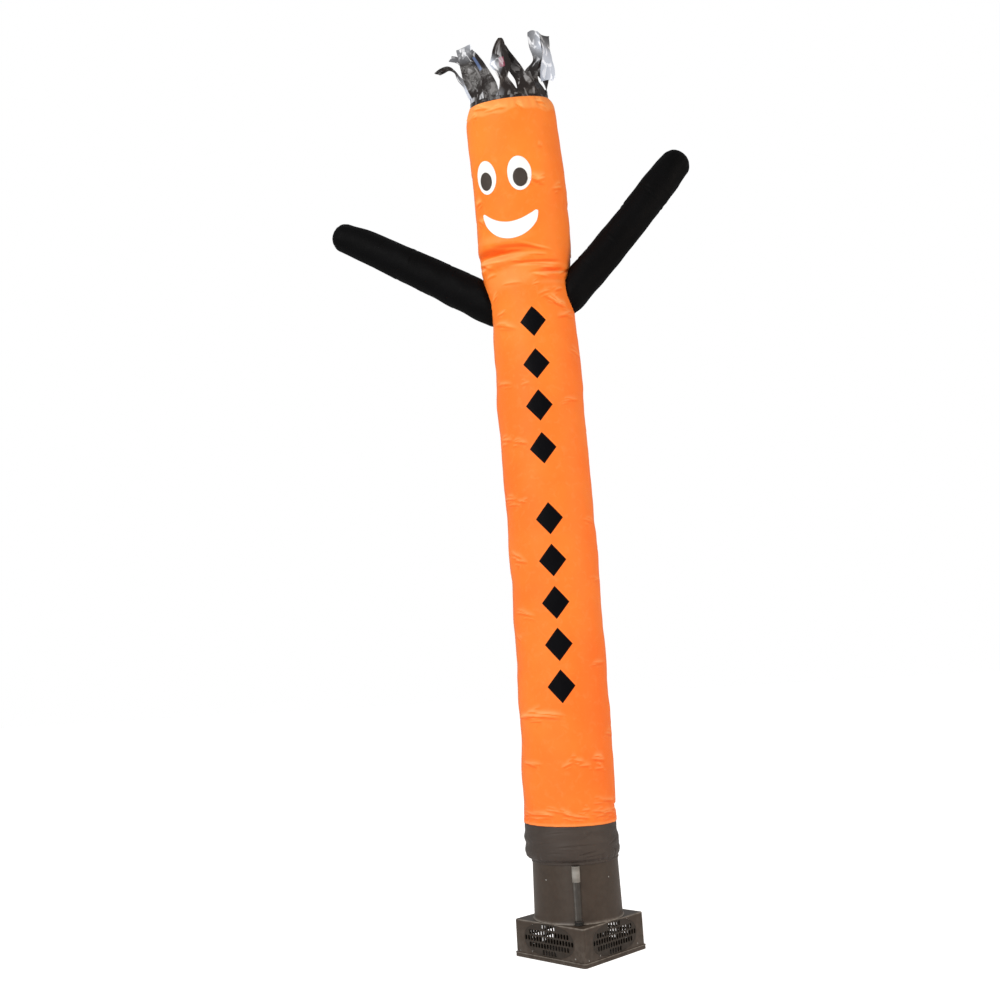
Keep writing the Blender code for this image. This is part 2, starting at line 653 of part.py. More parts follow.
def half_round(larger=0.0):
    """The conduit's outline seen from above, with its flat side towards the duct."""
    half_width = CONDUIT_HALF_WIDTH + larger
    depth = CONDUIT_DEPTH + larger
    points = [(-half_width, CONDUIT_INTO)]
    for i in range(9):
        angle = math.pi - math.pi * i / 8
        points.append((half_width * math.cos(angle), -depth * math.sin(angle) - CONDUIT_SEAT))
    points.append((half_width, CONDUIT_INTO))
    return points


def make_conduit(finish, duct_space):
    """The cable conduit: a half-round moulding up the duct's front."""
    turn = Matrix.Rotation(math.radians(-CONDUIT_TURN), 4, "Z")
    middle = (CONDUIT_FOOT + CONDUIT_TOP) / 2
    place = turn @ Matrix.Translation((0, -DUCT_RADIUS_TOP, middle))
    made = prism("conduit", half_round(), CONDUIT_TOP - CONDUIT_FOOT, place, False, finish)
    boolean(made, duct_space)
    return made


def make_clip(finish, duct_space):
    """The pale plate that is fixed over the conduit's top end."""
    turn = Matrix.Rotation(math.radians(-CONDUIT_TURN), 4, "Z")
    place = turn @ Matrix.Translation((0, -DUCT_RADIUS_TOP, CONDUIT_TOP - CLIP_HEIGHT / 2))
    made = prism("conduit_clip", half_round(GAP + CLIP), CLIP_HEIGHT, place, False, finish)
    over = CLIP_HEIGHT + 2 * OVERSHOOT
    boolean(made, prism("cut_clip", half_round(GAP), over, place))
    boolean(made, duct_space)
    return made


def make_grommet(finish, duct_space):
    """The rubber grommet where the conduit's cable goes down into the housing."""
    turn = Matrix.Rotation(math.radians(-CONDUIT_TURN), 4, "Z")
    foot = HOUSING_TOP + GAP
    top = CONDUIT_FOOT - GAP
    place = turn @ Matrix.Translation((0, -DUCT_RADIUS_FOOT - GROMMET_OUT, (foot + top) / 2))
    made = prism("grommet", superellipse(GROMMET_RADIUS, GROMMET_RADIUS, 20), top - foot, place, False, finish)
    boolean(made, duct_space)
    return made


def make_duct_space():
    """The duct's outside, a gap larger, which trims what is fixed against it."""
    angles = [math.pi * i / DUCT_SIDES for i in range(2 * DUCT_SIDES)]
    swell = GAP + DUCT_SAGITTA
    foot = HOUSING_TOP + swell
    rows = (
        (DUCT_RADIUS_FOOT + DUCT_FOOT_FLARE + swell, HOUSING_TOP - OVERSHOOT),
        (DUCT_RADIUS_FOOT + DUCT_FOOT_FLARE + swell, foot),
        (DUCT_RADIUS_FOOT + DUCT_FLARE_STEP + swell, foot + DUCT_FLARE_HEIGHT / 3),
        (DUCT_RADIUS_FOOT + swell, foot + DUCT_FLARE_HEIGHT),
        (DUCT_RADIUS_TOP + swell, DUCT_TOP),
    )
    rings = [[(r * math.cos(a), r * math.sin(a), z) for a in angles] for r, z in rows]
    bm = loft(rings, start_cap=True, end_cap=True)
    return add_object("cut_duct_space", mesh_from(bm, "cut_duct_space"), cutter=True)


# ---- the whole -----------------------------------------------------------------------------------


def build():
    for thing in list(bpy.data.objects):
        bpy.data.objects.remove(thing)
    bpy.context.scene.collection.children.link(OBJECT)
    bpy.context.scene.collection.children.link(CUTTERS)

    orange = material("orange_nylon", (1.0, 0.24, 0.03), 0.55)
    black = material("black_nylon", (0.006, 0.006, 0.007), 0.8)
    dark = material("dark_nylon", (0.075, 0.060, 0.050), 0.7)
    white = material("white_nylon", (0.9, 0.9, 0.9), 0.6)
    film = material("hair_film", (0.06, 0.055, 0.055), 0.25, 0.4)
    moulding = material("blower_plastic", (0.065, 0.052, 0.040), 0.45)
    rubber = material("grommet_rubber", (0.01, 0.01, 0.01), 0.8)
    pale = material("clip_plastic", (0.35, 0.33, 0.30), 0.4)

    make_tube(orange)
    tube_space = make_tube_space()
    for name, arm in ARMS.items():
        make_arm(name, arm, black, tube_space)
    make_cuff(dark)
    for side, eye in EYES.items():
        for part, layer, finish in (("white", 0, white), ("pupil", 1, dark)):
            across, up, half_width, half_height = eye[part]
            outline = moved(superellipse(half_width, half_height, 24), across, up)
            make_patch(f"eye_{part}_{side}", outline, layer, finish)
    make_patch("smile", smile_outline(), 0, white)
    make_hair(film)

    make_tray(moulding)
    make_housing(moulding)
    for quarter in range(4):
        make_grille(quarter, moulding)
    make_duct(moulding)
    duct_space = make_duct_space()
    make_conduit(moulding, duct_space)
    make_clip(pale, duct_space)
    make_grommet(rubber, duct_space)


build()
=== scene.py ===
"""An inflatable air dancer on its blower, dressed piece by piece in the order in which it is put together.

The blower comes first, then its outlet duct and fittings, the cuff, the tube with its arms and face, and
last the hair and the stitching. Metres, +Z up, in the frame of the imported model.
"""

import math

import bpy
import numpy as np
from mathutils import Matrix, Vector
from mathutils.bvhtree import BVHTree


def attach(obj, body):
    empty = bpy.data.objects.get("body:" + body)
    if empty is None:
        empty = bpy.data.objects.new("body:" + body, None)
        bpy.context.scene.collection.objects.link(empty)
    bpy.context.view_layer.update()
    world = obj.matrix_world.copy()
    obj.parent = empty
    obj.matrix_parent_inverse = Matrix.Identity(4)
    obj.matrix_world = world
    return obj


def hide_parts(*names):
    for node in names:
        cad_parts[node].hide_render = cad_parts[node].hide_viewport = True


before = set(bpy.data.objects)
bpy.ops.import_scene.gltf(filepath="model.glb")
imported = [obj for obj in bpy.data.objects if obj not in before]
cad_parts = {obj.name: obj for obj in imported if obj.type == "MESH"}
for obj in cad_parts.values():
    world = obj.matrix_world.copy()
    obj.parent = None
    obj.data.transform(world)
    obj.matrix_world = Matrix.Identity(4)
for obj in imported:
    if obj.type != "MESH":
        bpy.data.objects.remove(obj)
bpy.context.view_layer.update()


# ---- Camera, floor and studio light ------------------------------------------------------------
# The camera stands about six metres in front of the dancer, a little to its right, at eye height.
# A large soft light to the front left, two weaker ones and a pale room light the cloth evenly.

CAMERA_PLACE = (-0.289, -5.99, 1.45)
CAMERA_TILT = 99.18
CAMERA_ROLL = -3.27
CAMERA_LENS = 39.06
CAMERA_SENSOR = 36.0
STUDIO_LIGHTS = (
    # name; place and target; width and height; watts and tint
    ("key_light", (-5.2, -5.6, 5.6), (-0.1, 0.0, 2.6), 2.4, 2.4, 400.0, (1.0, 0.985, 0.96)),
    ("side_light", (5.5, -2.6, 3.2), (0.0, 0.0, 2.4), 2.6, 4.0, 170.0, (1.0, 0.87, 0.74)),
    ("low_light", (-2.0, -5.0, 0.8), (0.0, 0.0, 0.6), 2.0, 1.2, 34.0, (1.0, 0.99, 0.97)),
)
ROOM_GLOW = 0.42
PAPER_GLOW = 0.68
FLOOR_REACH = 60
WHITE = (1.0, 1.0, 1.0, 1.0)

scene = bpy.context.scene
scene.view_settings.view_transform = "Standard"


def put(name, data):
    """A shown object for a mesh that is already in its place, or for a camera or a light."""
    made = bpy.data.objects.new(name, data)
    scene.collection.objects.link(made)
    return made


def plain_mesh(name, points, faces=(), edges=()):
    """A mesh from its points and their faces or edges."""
    made = bpy.data.meshes.new(name)
    made.from_pydata([tuple(p) for p in points], list(edges), list(faces))
    return made


def join(tree, value, socket):
    """Links another node's output to a socket, or gives the socket a plain value."""
    if isinstance(value, bpy.types.NodeSocket):
        tree.links.new(value, socket)
    else:
        socket.default_value = value


def add(tree, kind, inputs=None, **settings):
    """A node of a tree, with its settings made, and its inputs joined by name or number."""
    node = tree.nodes.new(kind)
    for name, value in settings.items():
        setattr(node, name, value)
    for name, value in (inputs or {}).items():
        join(tree, value, node.inputs[name])
    return node


def finish_for(name):
    """A new material, its node tree and its Principled shader."""
    made = bpy.data.materials.new(name)
    made.use_nodes = True
    return made, made.node_tree, made.node_tree.nodes["Principled BSDF"]


def feed(tree, shader, **sockets):
    """Joins values to the shader's sockets; an underscore in a name stands for a space."""
    for name, value in sockets.items():
        join(tree, value, shader.inputs[name.replace("_", " ")])


camera = put("camera", bpy.data.cameras.new("camera"))
camera.data.lens = CAMERA_LENS
camera.data.sensor_width = CAMERA_SENSOR
camera.matrix_world = (Matrix.Translation(CAMERA_PLACE)
                       @ Matrix.Rotation(math.radians(CAMERA_TILT), 4, "X")
                       @ Matrix.Rotation(math.radians(CAMERA_ROLL), 4, "Z"))
scene.camera = camera

for name, place, target, width, height, watts, tint in STUDIO_LIGHTS:
    light = bpy.data.lights.new(name, "AREA")
    light.shape = "RECTANGLE"
    light.size = width
    light.size_y = height
    light.energy = watts
    light.color = tint
    lamp = put(name, light)
    lamp.location = place
    lamp.rotation_euler = (Vector(target) - Vector(place)).to_track_quat("-Z", "Y").to_euler()

room = bpy.data.worlds.new("pale_room")
scene.world = room
room.use_nodes = True
tree = room.node_tree
glow = tree.nodes["Background"]
feed(tree, glow, Color=WHITE, Strength=ROOM_GLOW)
paper = add(tree, "ShaderNodeBackground", {"Color": WHITE})
either = add(tree, "ShaderNodeMixShader", {
    "Fac": add(tree, "ShaderNodeLightPath").outputs["Is Camera Ray"],
    1: glow.outputs["Background"], 2: paper.outputs["Background"]})
feed(tree, tree.nodes["World Output"], Surface=either.outputs["Shader"])

floor_finish, tree, shader = finish_for("pale_floor")
feed(tree, shader, Base_Color=(0.93, 0.93, 0.93, 1.0), Roughness=0.9, Specular_IOR_Level=0.1,
     Emission_Color=add(tree, "ShaderNodeLightPath").outputs["Is Camera Ray"], Emission_Strength=PAPER_GLOW)
floor = put("floor", plain_mesh(
    "floor", [(x * FLOOR_REACH, y * FLOOR_REACH, 0) for x, y in ((-1, -1), (1, -1), (1, 1), (-1, 1))],
    [(0, 1, 2, 3)]))
floor.data.materials.append(floor_finish)


# ---- Tray under the blower ---------------------------------------------------------------------
# A shallow moulded tray whose lip stands up round the housing's foot, with a rounded bead along its edge.
# Dark plastic with a fine grain, moulded in one and screwed to the housing.

BLOWER_TURN = 45
TRAY_SIDE = 0.490
TRAY_CORNER = 0.018
TRAY_FLOOR = 0.004
TRAY_LIP = 0.022
TRAY_BEAD = 0.0022
CORNER_STEPS = 8
WALL_RUNS = 10
CRISP = 35  # edges sharper than this many degrees stay crisp
SIDE = 0.478
CORNER = 0.014
GAP = 0.0003
FLOAT = "NodeSocketFloat"
COLOUR = "NodeSocketColor"
VECTOR = "NodeSocketVector"


def shader_group(name, inputs, outputs):
    """An empty node group for a shared effect, with its inputs' values and its outputs' kinds."""
    group = bpy.data.node_groups.new(name, "ShaderNodeTree")
    for socket, value in inputs.items():
        kind = {3: VECTOR, 4: COLOUR}[len(value)] if isinstance(value, tuple) else FLOAT
        group.interface.new_socket(socket, in_out="INPUT", socket_type=kind).default_value = value
    for socket, kind in outputs.items():
        group.interface.new_socket(socket, in_out="OUTPUT", socket_type=kind)
    return group, group.nodes.new("NodeGroupInput").outputs, group.nodes.new("NodeGroupOutput").inputs


def mix(tree, blend, factor, one, two):
    """Colour two over colour one, by a factor."""
    return add(tree, "ShaderNodeMix", {0: factor, 6: one, 7: two}, data_type="RGBA",
               blend_type=blend).outputs[2]


def sums(tree, operation, one, two=0.0, three=0.0):
    """A Math node's result."""
    return add(tree, "ShaderNodeMath", {0: one, 1: two, 2: three}, operation=operation).outputs[0]


def spread(tree, value, low, high, to_low=0.0, to_high=1.0):
    """A value stretched from one range to another, and kept inside it."""
    ends = {"Value": value, "From Min": low, "From Max": high, "To Min": to_low, "To Max": to_high}
    return add(tree, "ShaderNodeMapRange", ends).outputs["Result"]


def noise(tree, where, scale, detail, **more):
    """A cloudy value over the surface."""
    inputs = {"Vector": where, "Scale": scale, "Detail": detail, **more}
    return add(tree, "ShaderNodeTexNoise", inputs).outputs["Fac"]


def part_of(tree, vector, axis):
    """One of a vector's three parts."""
    return add(tree, "ShaderNodeSeparateXYZ", {"Vector": vector}).outputs[axis]


def marked(tree, name):
    """What a piece's own points are marked with."""
    return add(tree, "ShaderNodeAttribute", attribute_name=name).outputs["Fac"]


# Moulded plastic's skin: a sparkle of grain, slow mottling, edges paler from rubbing and from a painted
# highlight, and dust that settles low
moulded_skin, given, gives = shader_group(
    "moulded_skin",
    {"Colour": (0.05, 0.04, 0.03, 1), "Wear and Highlight Colour": (0.16, 0.14, 0.12, 1),
     "Dust Colour": (0.22, 0.19, 0.16, 1), "Grain": 900.0, "Roughness": 0.45, "Dust": 0.5},
    {"Colour": COLOUR, "Roughness": FLOAT, "Height": FLOAT})
tree = moulded_skin
where = add(tree, "ShaderNodeTexCoord").outputs["Object"]
facing = add(tree, "ShaderNodeNewGeometry").outputs["Normal"]
grain = noise(tree, where, given["Grain"], 2.0)
mottle = noise(tree, where, 9.0, 5.0)
patches = noise(tree, where, 34.0, 4.0, Roughness=0.65)
low_down = spread(tree, part_of(tree, where, "Z"), 0.0, 0.20, 1.0, 0.25)
facing_up = spread(tree, part_of(tree, facing, "Z"), 0.3, 0.95)
settled = sums(tree, "MAXIMUM", low_down, facing_up)
dust = sums(tree, "MULTIPLY", settled, spread(tree, patches, 0.38, 0.70))
dust = sums(tree, "MULTIPLY", dust, given["Dust"])
# marked edges turn paler: partly rubbed, partly a painted highlight along them
edge = sums(tree, "MULTIPLY", marked(tree, "wear_and_highlight"), spread(tree, patches, 0.30, 0.62, 0.35, 1.0))
colour = mix(tree, "MULTIPLY", spread(tree, mottle, 0.35, 0.65, 0.0, 0.35), given["Colour"],
             (0.62, 0.60, 0.58, 1))
colour = mix(tree, "MIX", edge, colour, given["Wear and Highlight Colour"])
rough = sums(tree, "MULTIPLY_ADD", grain, 0.16, given["Roughness"])
join(tree, mix(tree, "MIX", dust, colour, given["Dust Colour"]), gives["Colour"])
join(tree, sums(tree, "MULTIPLY_ADD", dust, 0.25, rough), gives["Roughness"])
join(tree, grain, gives["Height"])


def moulded(name, colour, wear_and_highlight, roughness, dust, bump=0.25):
    """A moulded plastic or rubber finish."""
    made, tree, shader = finish_for(name)
    settings = {"Colour": (*colour, 1), "Wear and Highlight Colour": (*wear_and_highlight, 1), "Roughness": roughness, "Dust": dust}
    skin = add(tree, "ShaderNodeGroup", settings, node_tree=moulded_skin).outputs
    relief = add(tree, "ShaderNodeBump", {"Height": skin["Height"], "Strength": bump, "Distance": 0.0006})
    feed(tree, shader, Base_Color=skin["Colour"], Roughness=skin["Roughness"],
         Normal=relief.outputs["Normal"], Specular_IOR_Level=0.34)
    return made


# the paler edge colour of these plastics is partly a painted highlight
blower_plastic = moulded("blower_plastic", (0.046, 0.031, 0.021), (0.30, 0.265, 0.230), 0.36, 0.18)
grille_plastic = moulded("grille_plastic", (0.026, 0.018, 0.012), (0.12, 0.100, 0.080), 0.40, 0.10)


def loft(rows, closed_along=False, start_cap=False, end_cap=False):
    """A mesh's points and faces through closed rows of equally many points. Its faces are out for rows that
    go counterclockwise seen from the far end."""
    rows = np.asarray(rows, float)
    count, around = rows.shape[:2]
    faces = []
    for i in range(count if closed_along else count - 1):
        a, b = i * around, (i + 1) % count * around
        faces += [(a + j, a + (j + 1) % around, b + (j + 1) % around, b + j) for j in range(around)]
    if start_cap:
        faces.append(tuple(range(around - 1, -1, -1)))
    if end_cap:
        faces.append(tuple(range((count - 1) * around, count * around)))
    return rows.reshape(-1, 3), faces


def shade(mesh, sharp=180):
    """Smooth shading, with edges sharper than an angle kept crisp."""
    mesh.shade_smooth()
    if sharp < 180:
        mesh.set_sharp_from_angle(angle=math.radians(sharp))


def mark(mesh, name, values):
    """Marks each of a mesh's points with a value or a direction."""
    values = np.asarray(values, np.float32)
    kind, field = ("FLOAT_VECTOR", "vector") if values.ndim == 2 else ("FLOAT", "value")
    mesh.attributes.new(name, kind, "POINT").data.foreach_set(field, values.ravel())


def mesh_of(name, form, finish, smooth=CRISP, uv=None, wear_and_highlight=None):
    """A mesh with its finish, its shading and, where they are given, its UV map and, by point, its rubbed
    edges with their painted highlight.
    """
    made = plain_mesh(name, *form)
    made.materials.append(finish)
    if smooth:
        shade(made, smooth)
    if uv is not None:
        corners = np.empty(len(made.loops), np.int32)
        made.loops.foreach_get("vertex_index", corners)
        made.uv_layers.new(name="UVMap").data.foreach_set("uv", np.asarray(uv, np.float32)[corners].ravel())
    if wear_and_highlight is not None:
        mark(made, "wear_and_highlight", wear_and_highlight)
    return made


def piece(name, mesh, slot, *nodes):
    """A finished piece that rides on the dancer's one body and stands for the CAD nodes."""
    made = put(name, mesh)
    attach(made, "root")
    if nodes:
        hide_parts(*nodes)
    return made


def turned(points, degrees):
    """Points turned about the blower's axis."""
    c, s = math.cos(math.radians(degrees)), math.sin(math.radians(degrees))
    return [(x * c - y * s, x * s + y * c, z) for x, y, z in points]


def square_shell(profile):
    """Rows round the blower, for a profile of side, corner and height: squares with rounded corners, turned
    as the blower stands, counterclockwise."""
    rows = []
    for side, corner, height in profile:
        half = side / 2 - corner
        points = []
        for cx, cy, start in ((half, half, 0), (-half, half, 90), (-half, -half, 180), (half, -half, 270)):
            arc = [math.radians(start + 90 * i / CORNER_STEPS) for i in range(CORNER_STEPS + 1)]
            points += [(cx + corner * math.cos(a), cy + corner * math.sin(a), height) for a in arc]
            x, y, _ = points[-1]
            dx, dy = -math.sin(arc[-1]), math.cos(arc[-1])
            points += [(x + dx * 2 * half * i / WALL_RUNS, y + dy * 2 * half * i / WALL_RUNS, height)
                       for i in range(1, WALL_RUNS)]
        rows.append(turned(points, BLOWER_TURN))
    return rows


def arc_profile(side, height, radius, start, stop, steps, corner):
    """Part of a rounded edge: side and height are its middle, and the angles go from level outwards."""
    turns = [math.radians(start + (stop - start) * i / steps) for i in range(steps + 1)]
    return [(side + 2 * radius * math.cos(a), corner + radius * math.cos(a), height + radius * math.sin(a))
            for a in turns]


tray_profile = [(TRAY_SIDE - 0.004, TRAY_CORNER - 0.002, 0.0),
                *arc_profile(TRAY_SIDE - 0.003, 0.0015, 0.0015, -70, 0, 3, TRAY_CORNER - 0.0015),
                (TRAY_SIDE - 0.0016, TRAY_CORNER - 0.0008, TRAY_LIP - 3.4 * TRAY_BEAD),
                *arc_profile(TRAY_SIDE - 2 * TRAY_BEAD + 0.0024, TRAY_LIP - TRAY_BEAD, TRAY_BEAD, -50, 150, 9,
                             TRAY_CORNER - TRAY_BEAD),
                (SIDE + 2 * GAP, CORNER + GAP, TRAY_LIP - 1.6 * TRAY_BEAD),
                (SIDE + 2 * GAP, CORNER + GAP, TRAY_FLOOR)]
# how much each row up the tray is rubbed and given a painted highlight, most over its bead
tray_worn_and_lit = [0.0, 0.25, 0.4, 0.3, 0.1, 0.0, 0.1, 0.3, 0.5, 0.7, 0.85, 0.9, 0.8, 0.5, 0.3, 0.2, 0.0, 0.0]
tray_rows = square_shell(tray_profile)
piece("tray", mesh_of("tray", loft(tray_rows, start_cap=True, end_cap=True), blower_plastic,
                      wear_and_highlight=np.repeat(tray_worn_and_lit, len(tray_rows[0]))), "blower_plastic", "blower_tray")


# ---- Blower housing ----------------------------------------------------------------------------
# The square housing that stands in the tray: four walls and a top moulded in one shell, with a soft top
# edge, a vent window in each wall and a round hole under the duct. The motor and the fan that hang inside it
# are not built.

HOUSING_TOP = 0.185
HOUSING_WALL = 0.0045
EDGE = 0.006
DUCT_RADIUS_FOOT = 0.2322
DUCT_WALL = 0.0040
VENT_WIDTH = 0.344
VENT_HEIGHT = 0.160
VENT_MIDDLE = 0.103
VENT_SQUARENESS = 2.4
VENT_SIDES = 72
CUTTER_DEPTH = 0.03


def oval(half_width, half_height, count, power=2.0):
    """Points round an oval, squarer with a higher power."""
    turns = [2 * math.pi * i / count for i in range(count)]
    return [(half_width * math.copysign(abs(math.cos(a)) ** (2 / power), math.cos(a)),
             half_height * math.copysign(abs(math.sin(a)) ** (2 / power), math.sin(a))) for a in turns]


def bar(name, outline, place):
    """A cutter: an outline drawn out both ways, in its place."""
    rows = [[place @ Vector((x, y, z)) for x, y in outline] for z in (-CUTTER_DEPTH / 2, CUTTER_DEPTH / 2)]
    return put(name, plain_mesh(name, *loft(rows, start_cap=True, end_cap=True)))


def made_plain(thing):
    """An object's mesh with its modifiers worked in."""
    done = bpy.data.meshes.new_from_object(thing.evaluated_get(bpy.context.evaluated_depsgraph_get()))
    done.name = thing.name
    return done


def cut(thing, cutters):
    """Takes cutters out of an object, and removes them."""
    for cutter in cutters:
        step = thing.modifiers.new("cut", "BOOLEAN")
        step.object = cutter
        step.solver = "EXACT"
    done = made_plain(thing)
    thing.modifiers.clear()
    thing.data = done
    shade(done, CRISP)
    for cutter in cutters:
        bpy.data.objects.remove(cutter)


def vent_place(quarter):
    """The middle of one side's vent: X along the wall, Y up, Z outwards."""
    stand = Matrix.Rotation(math.radians(90), 4, "X")
    out = Matrix.Translation((0, -(SIDE / 2 - HOUSING_WALL / 2), VENT_MIDDLE))
    return Matrix.Rotation(math.radians(BLOWER_TURN + 90 * quarter), 4, "Z") @ out @ stand


outside = [(SIDE, CORNER, TRAY_FLOOR + GAP), (SIDE, CORNER, TRAY_LIP + 0.001),
           (SIDE, CORNER, HOUSING_TOP - 1.6 * EDGE),
           *arc_profile(SIDE - 2 * EDGE, HOUSING_TOP - EDGE, EDGE, 0, 90, 7, CORNER - EDGE),
           (SIDE - 4 * EDGE, 0.004, HOUSING_TOP)]
inside = [(side - 2 * HOUSING_WALL, max(corner - HOUSING_WALL, 0.002), min(z, HOUSING_TOP - HOUSING_WALL))
          for side, corner, z in outside]
shell_rows = square_shell(outside + inside[::-1])
shell_points, shell_faces = loft(shell_rows, closed_along=True)
per_row = len(shell_rows[0])
last = len(outside) - 1
# the top is closed over both skins, and the duct's hole is cut through it
shell_faces = [f for f in shell_faces if f[0] // per_row != last]
shell_faces.append(tuple(range(last * per_row, (last + 1) * per_row)))
shell_faces.append(tuple(range((last + 2) * per_row - 1, (last + 1) * per_row - 1, -1)))
# the rounded top edge is rubbed and given a painted highlight
edge_worn_and_lit = [0.15, 0.1, 0.0, 0.1, 0.25, 0.5, 0.75, 0.9, 0.75, 0.5, 0.25, 0.0] + [0.0] * len(inside)
housing = piece("housing", mesh_of("housing", (shell_points, shell_faces), blower_plastic,
                                   wear_and_highlight=np.repeat(edge_worn_and_lit, per_row)), "blower_plastic", "blower_housing")
hole_radius = DUCT_RADIUS_FOOT - DUCT_WALL
window = oval(VENT_WIDTH / 2 + GAP, VENT_HEIGHT / 2 + GAP, VENT_SIDES, VENT_SQUARENESS)
cut(housing, [bar("hole", oval(hole_radius, hole_radius, 96), Matrix.Translation((0, 0, HOUSING_TOP))),
              *(bar("window", window, vent_place(quarter)) for quarter in range(4))])


# ---- Vent grilles ------------------------------------------------------------------------------
# An oval plate in each window, flush with the wall and pierced with rows of upright slots, every other row
# set half a slot aside. Moulded in the housing's plastic; the blower draws its air through them.

SLOT_WIDTH = 0.0142
SLOT_HEIGHT = 0.0250
SLOT_COLUMN = 0.0200
SLOT_COLUMNS = 19
SLOT_ROW = 0.0310
SLOT_ROWS = 7
SLOT_DEPTH = 0.02
VENT_RIM = 0.003
PLATE_EASE = 0.0006


def geometry_tree(name, numbers, counts=()):
    """An empty Geometry Nodes tree that asks for a geometry, numbers, counts and a finish."""
    tree = bpy.data.node_groups.new(name, "GeometryNodeTree")
    for socket, kind in (("Geometry", "NodeSocketGeometry"), *((number, FLOAT) for number in numbers),
                         *((count, "NodeSocketInt") for count in counts), ("Finish", "NodeSocketMaterial")):
        tree.interface.new_socket(socket, in_out="INPUT", socket_type=kind)
    tree.interface.new_socket("Geometry", in_out="OUTPUT", socket_type="NodeSocketGeometry")
    return tree, tree.nodes.new("NodeGroupInput").outputs


def vector(tree, **parts):
    """A vector put together from its parts."""
    return add(tree, "ShaderNodeCombineXYZ", parts).outputs["Vector"]


def less(tree, body, cutter):
    """A body with a cutter taken out of it."""
    return add(tree, "GeometryNodeMeshBoolean", {"Mesh 1": body, "Mesh 2": cutter}, operation="DIFFERENCE",
               solver="EXACT").outputs["Mesh"]


def realized(tree, instances):
    """Instances made into a plain mesh."""
    return add(tree, "GeometryNodeRealizeInstances", {"Geometry": instances}).outputs["Geometry"]


def set_on(tree, points, thing, **more):
    """A thing set on each point."""
    inputs = {"Points": points, "Instance": thing, **more}
    return add(tree, "GeometryNodeInstanceOnPoints", inputs).outputs["Instances"]


def close_tree(tree, geometry, finish):
    """Ends a Geometry Nodes tree with plain geometry in its finish."""
    done = add(tree, "GeometryNodeSetMaterial", {"Geometry": realized(tree, geometry), "Material": finish})
    join(tree, done.outputs["Geometry"], tree.nodes.new("NodeGroupOutput").inputs["Geometry"])


def grown(name, mesh, tree, values):
    """The plain mesh that a Geometry Nodes tree makes from a mesh."""
    base = put(name, mesh)
    nodes = base.modifiers.new(name, "NODES")
    nodes.node_group = tree
    for socket in tree.interface.items_tree:
        if socket.in_out == "INPUT" and socket.name in values:
            nodes[socket.identifier] = values[socket.name]
    made = made_plain(base)
    base.modifiers.clear()
    bpy.data.objects.remove(base)
    return made


def reach(tree, value, slot, plate, rim, power):
    """How far out a slot's end lies, as a fraction of the plate's half size, to the plate's power."""
    ends = sums(tree, "ADD", sums(tree, "ABSOLUTE", value), sums(tree, "MULTIPLY", slot, 0.5))
    room = sums(tree, "SUBTRACT", sums(tree, "MULTIPLY", plate, 0.5), rim)
    return sums(tree, "POWER", sums(tree, "DIVIDE", ends, room), power)


# a grid of spots, with every other row set aside, keeps the slots that lie wholly inside the plate
pierced, asks = geometry_tree("pierced_plate", ("Width", "Height", "Squareness", "Rim", "Slot Width",
                                                "Slot Height", "Column", "Row", "Depth"), ("Columns", "Rows"))
tree = pierced
wide, tall = (sums(tree, "MULTIPLY", asks[pitch], sums(tree, "SUBTRACT", asks[number], 1.0))
              for pitch, number in (("Column", "Columns"), ("Row", "Rows")))
grid = add(tree, "GeometryNodeMeshGrid", {"Size X": wide, "Size Y": tall, "Vertices X": asks["Columns"],
                                          "Vertices Y": asks["Rows"]}).outputs["Mesh"]
spot = add(tree, "GeometryNodeInputPosition").outputs["Position"]
spot_x, spot_y = part_of(tree, spot, "X"), part_of(tree, spot, "Y")
row = sums(tree, "ABSOLUTE", sums(tree, "ROUND", sums(tree, "DIVIDE", spot_y, asks["Row"])))
aside = sums(tree, "MULTIPLY", sums(tree, "MULTIPLY", sums(tree, "MODULO", row, 2.0), 0.5), asks["Column"])
rows = add(tree, "GeometryNodeSetPosition", {"Geometry": grid, "Offset": vector(tree, X=aside)})
total = sums(tree, "ADD", *(
    reach(tree, way, asks["Slot " + size], asks[size], asks["Rim"], asks["Squareness"])
    for way, size in ((spot_x, "Width"), (spot_y, "Height"))))
outside_plate = add(tree, "FunctionNodeCompare", {"A": total, "B": 1.0}, data_type="FLOAT",
                    operation="GREATER_EQUAL").outputs["Result"]
spots = add(tree, "GeometryNodeDeleteGeometry", {"Geometry": rows.outputs["Geometry"],
                                                 "Selection": outside_plate}).outputs["Geometry"]
# a slot is a round bar drawn out both ways
round_slot = add(tree, "GeometryNodeMeshCylinder", {
    "Vertices": 16, "Radius": sums(tree, "MULTIPLY", asks["Slot Width"], 0.5), "Depth": asks["Depth"]})
longer = sums(tree, "MULTIPLY", sums(tree, "SUBTRACT", asks["Slot Height"], asks["Slot Width"]), 0.5)
half_of = sums(tree, "SIGN", sums(tree, "ROUND", sums(tree, "MULTIPLY", spot_y, 10000.0)))
slot = add(tree, "GeometryNodeSetPosition", {"Geometry": round_slot.outputs["Mesh"], "Offset": vector(
    tree, Y=sums(tree, "MULTIPLY", half_of, longer))}).outputs["Geometry"]
close_tree(tree, less(tree, asks["Geometry"], realized(tree, set_on(tree, spots, slot))), asks["Finish"])

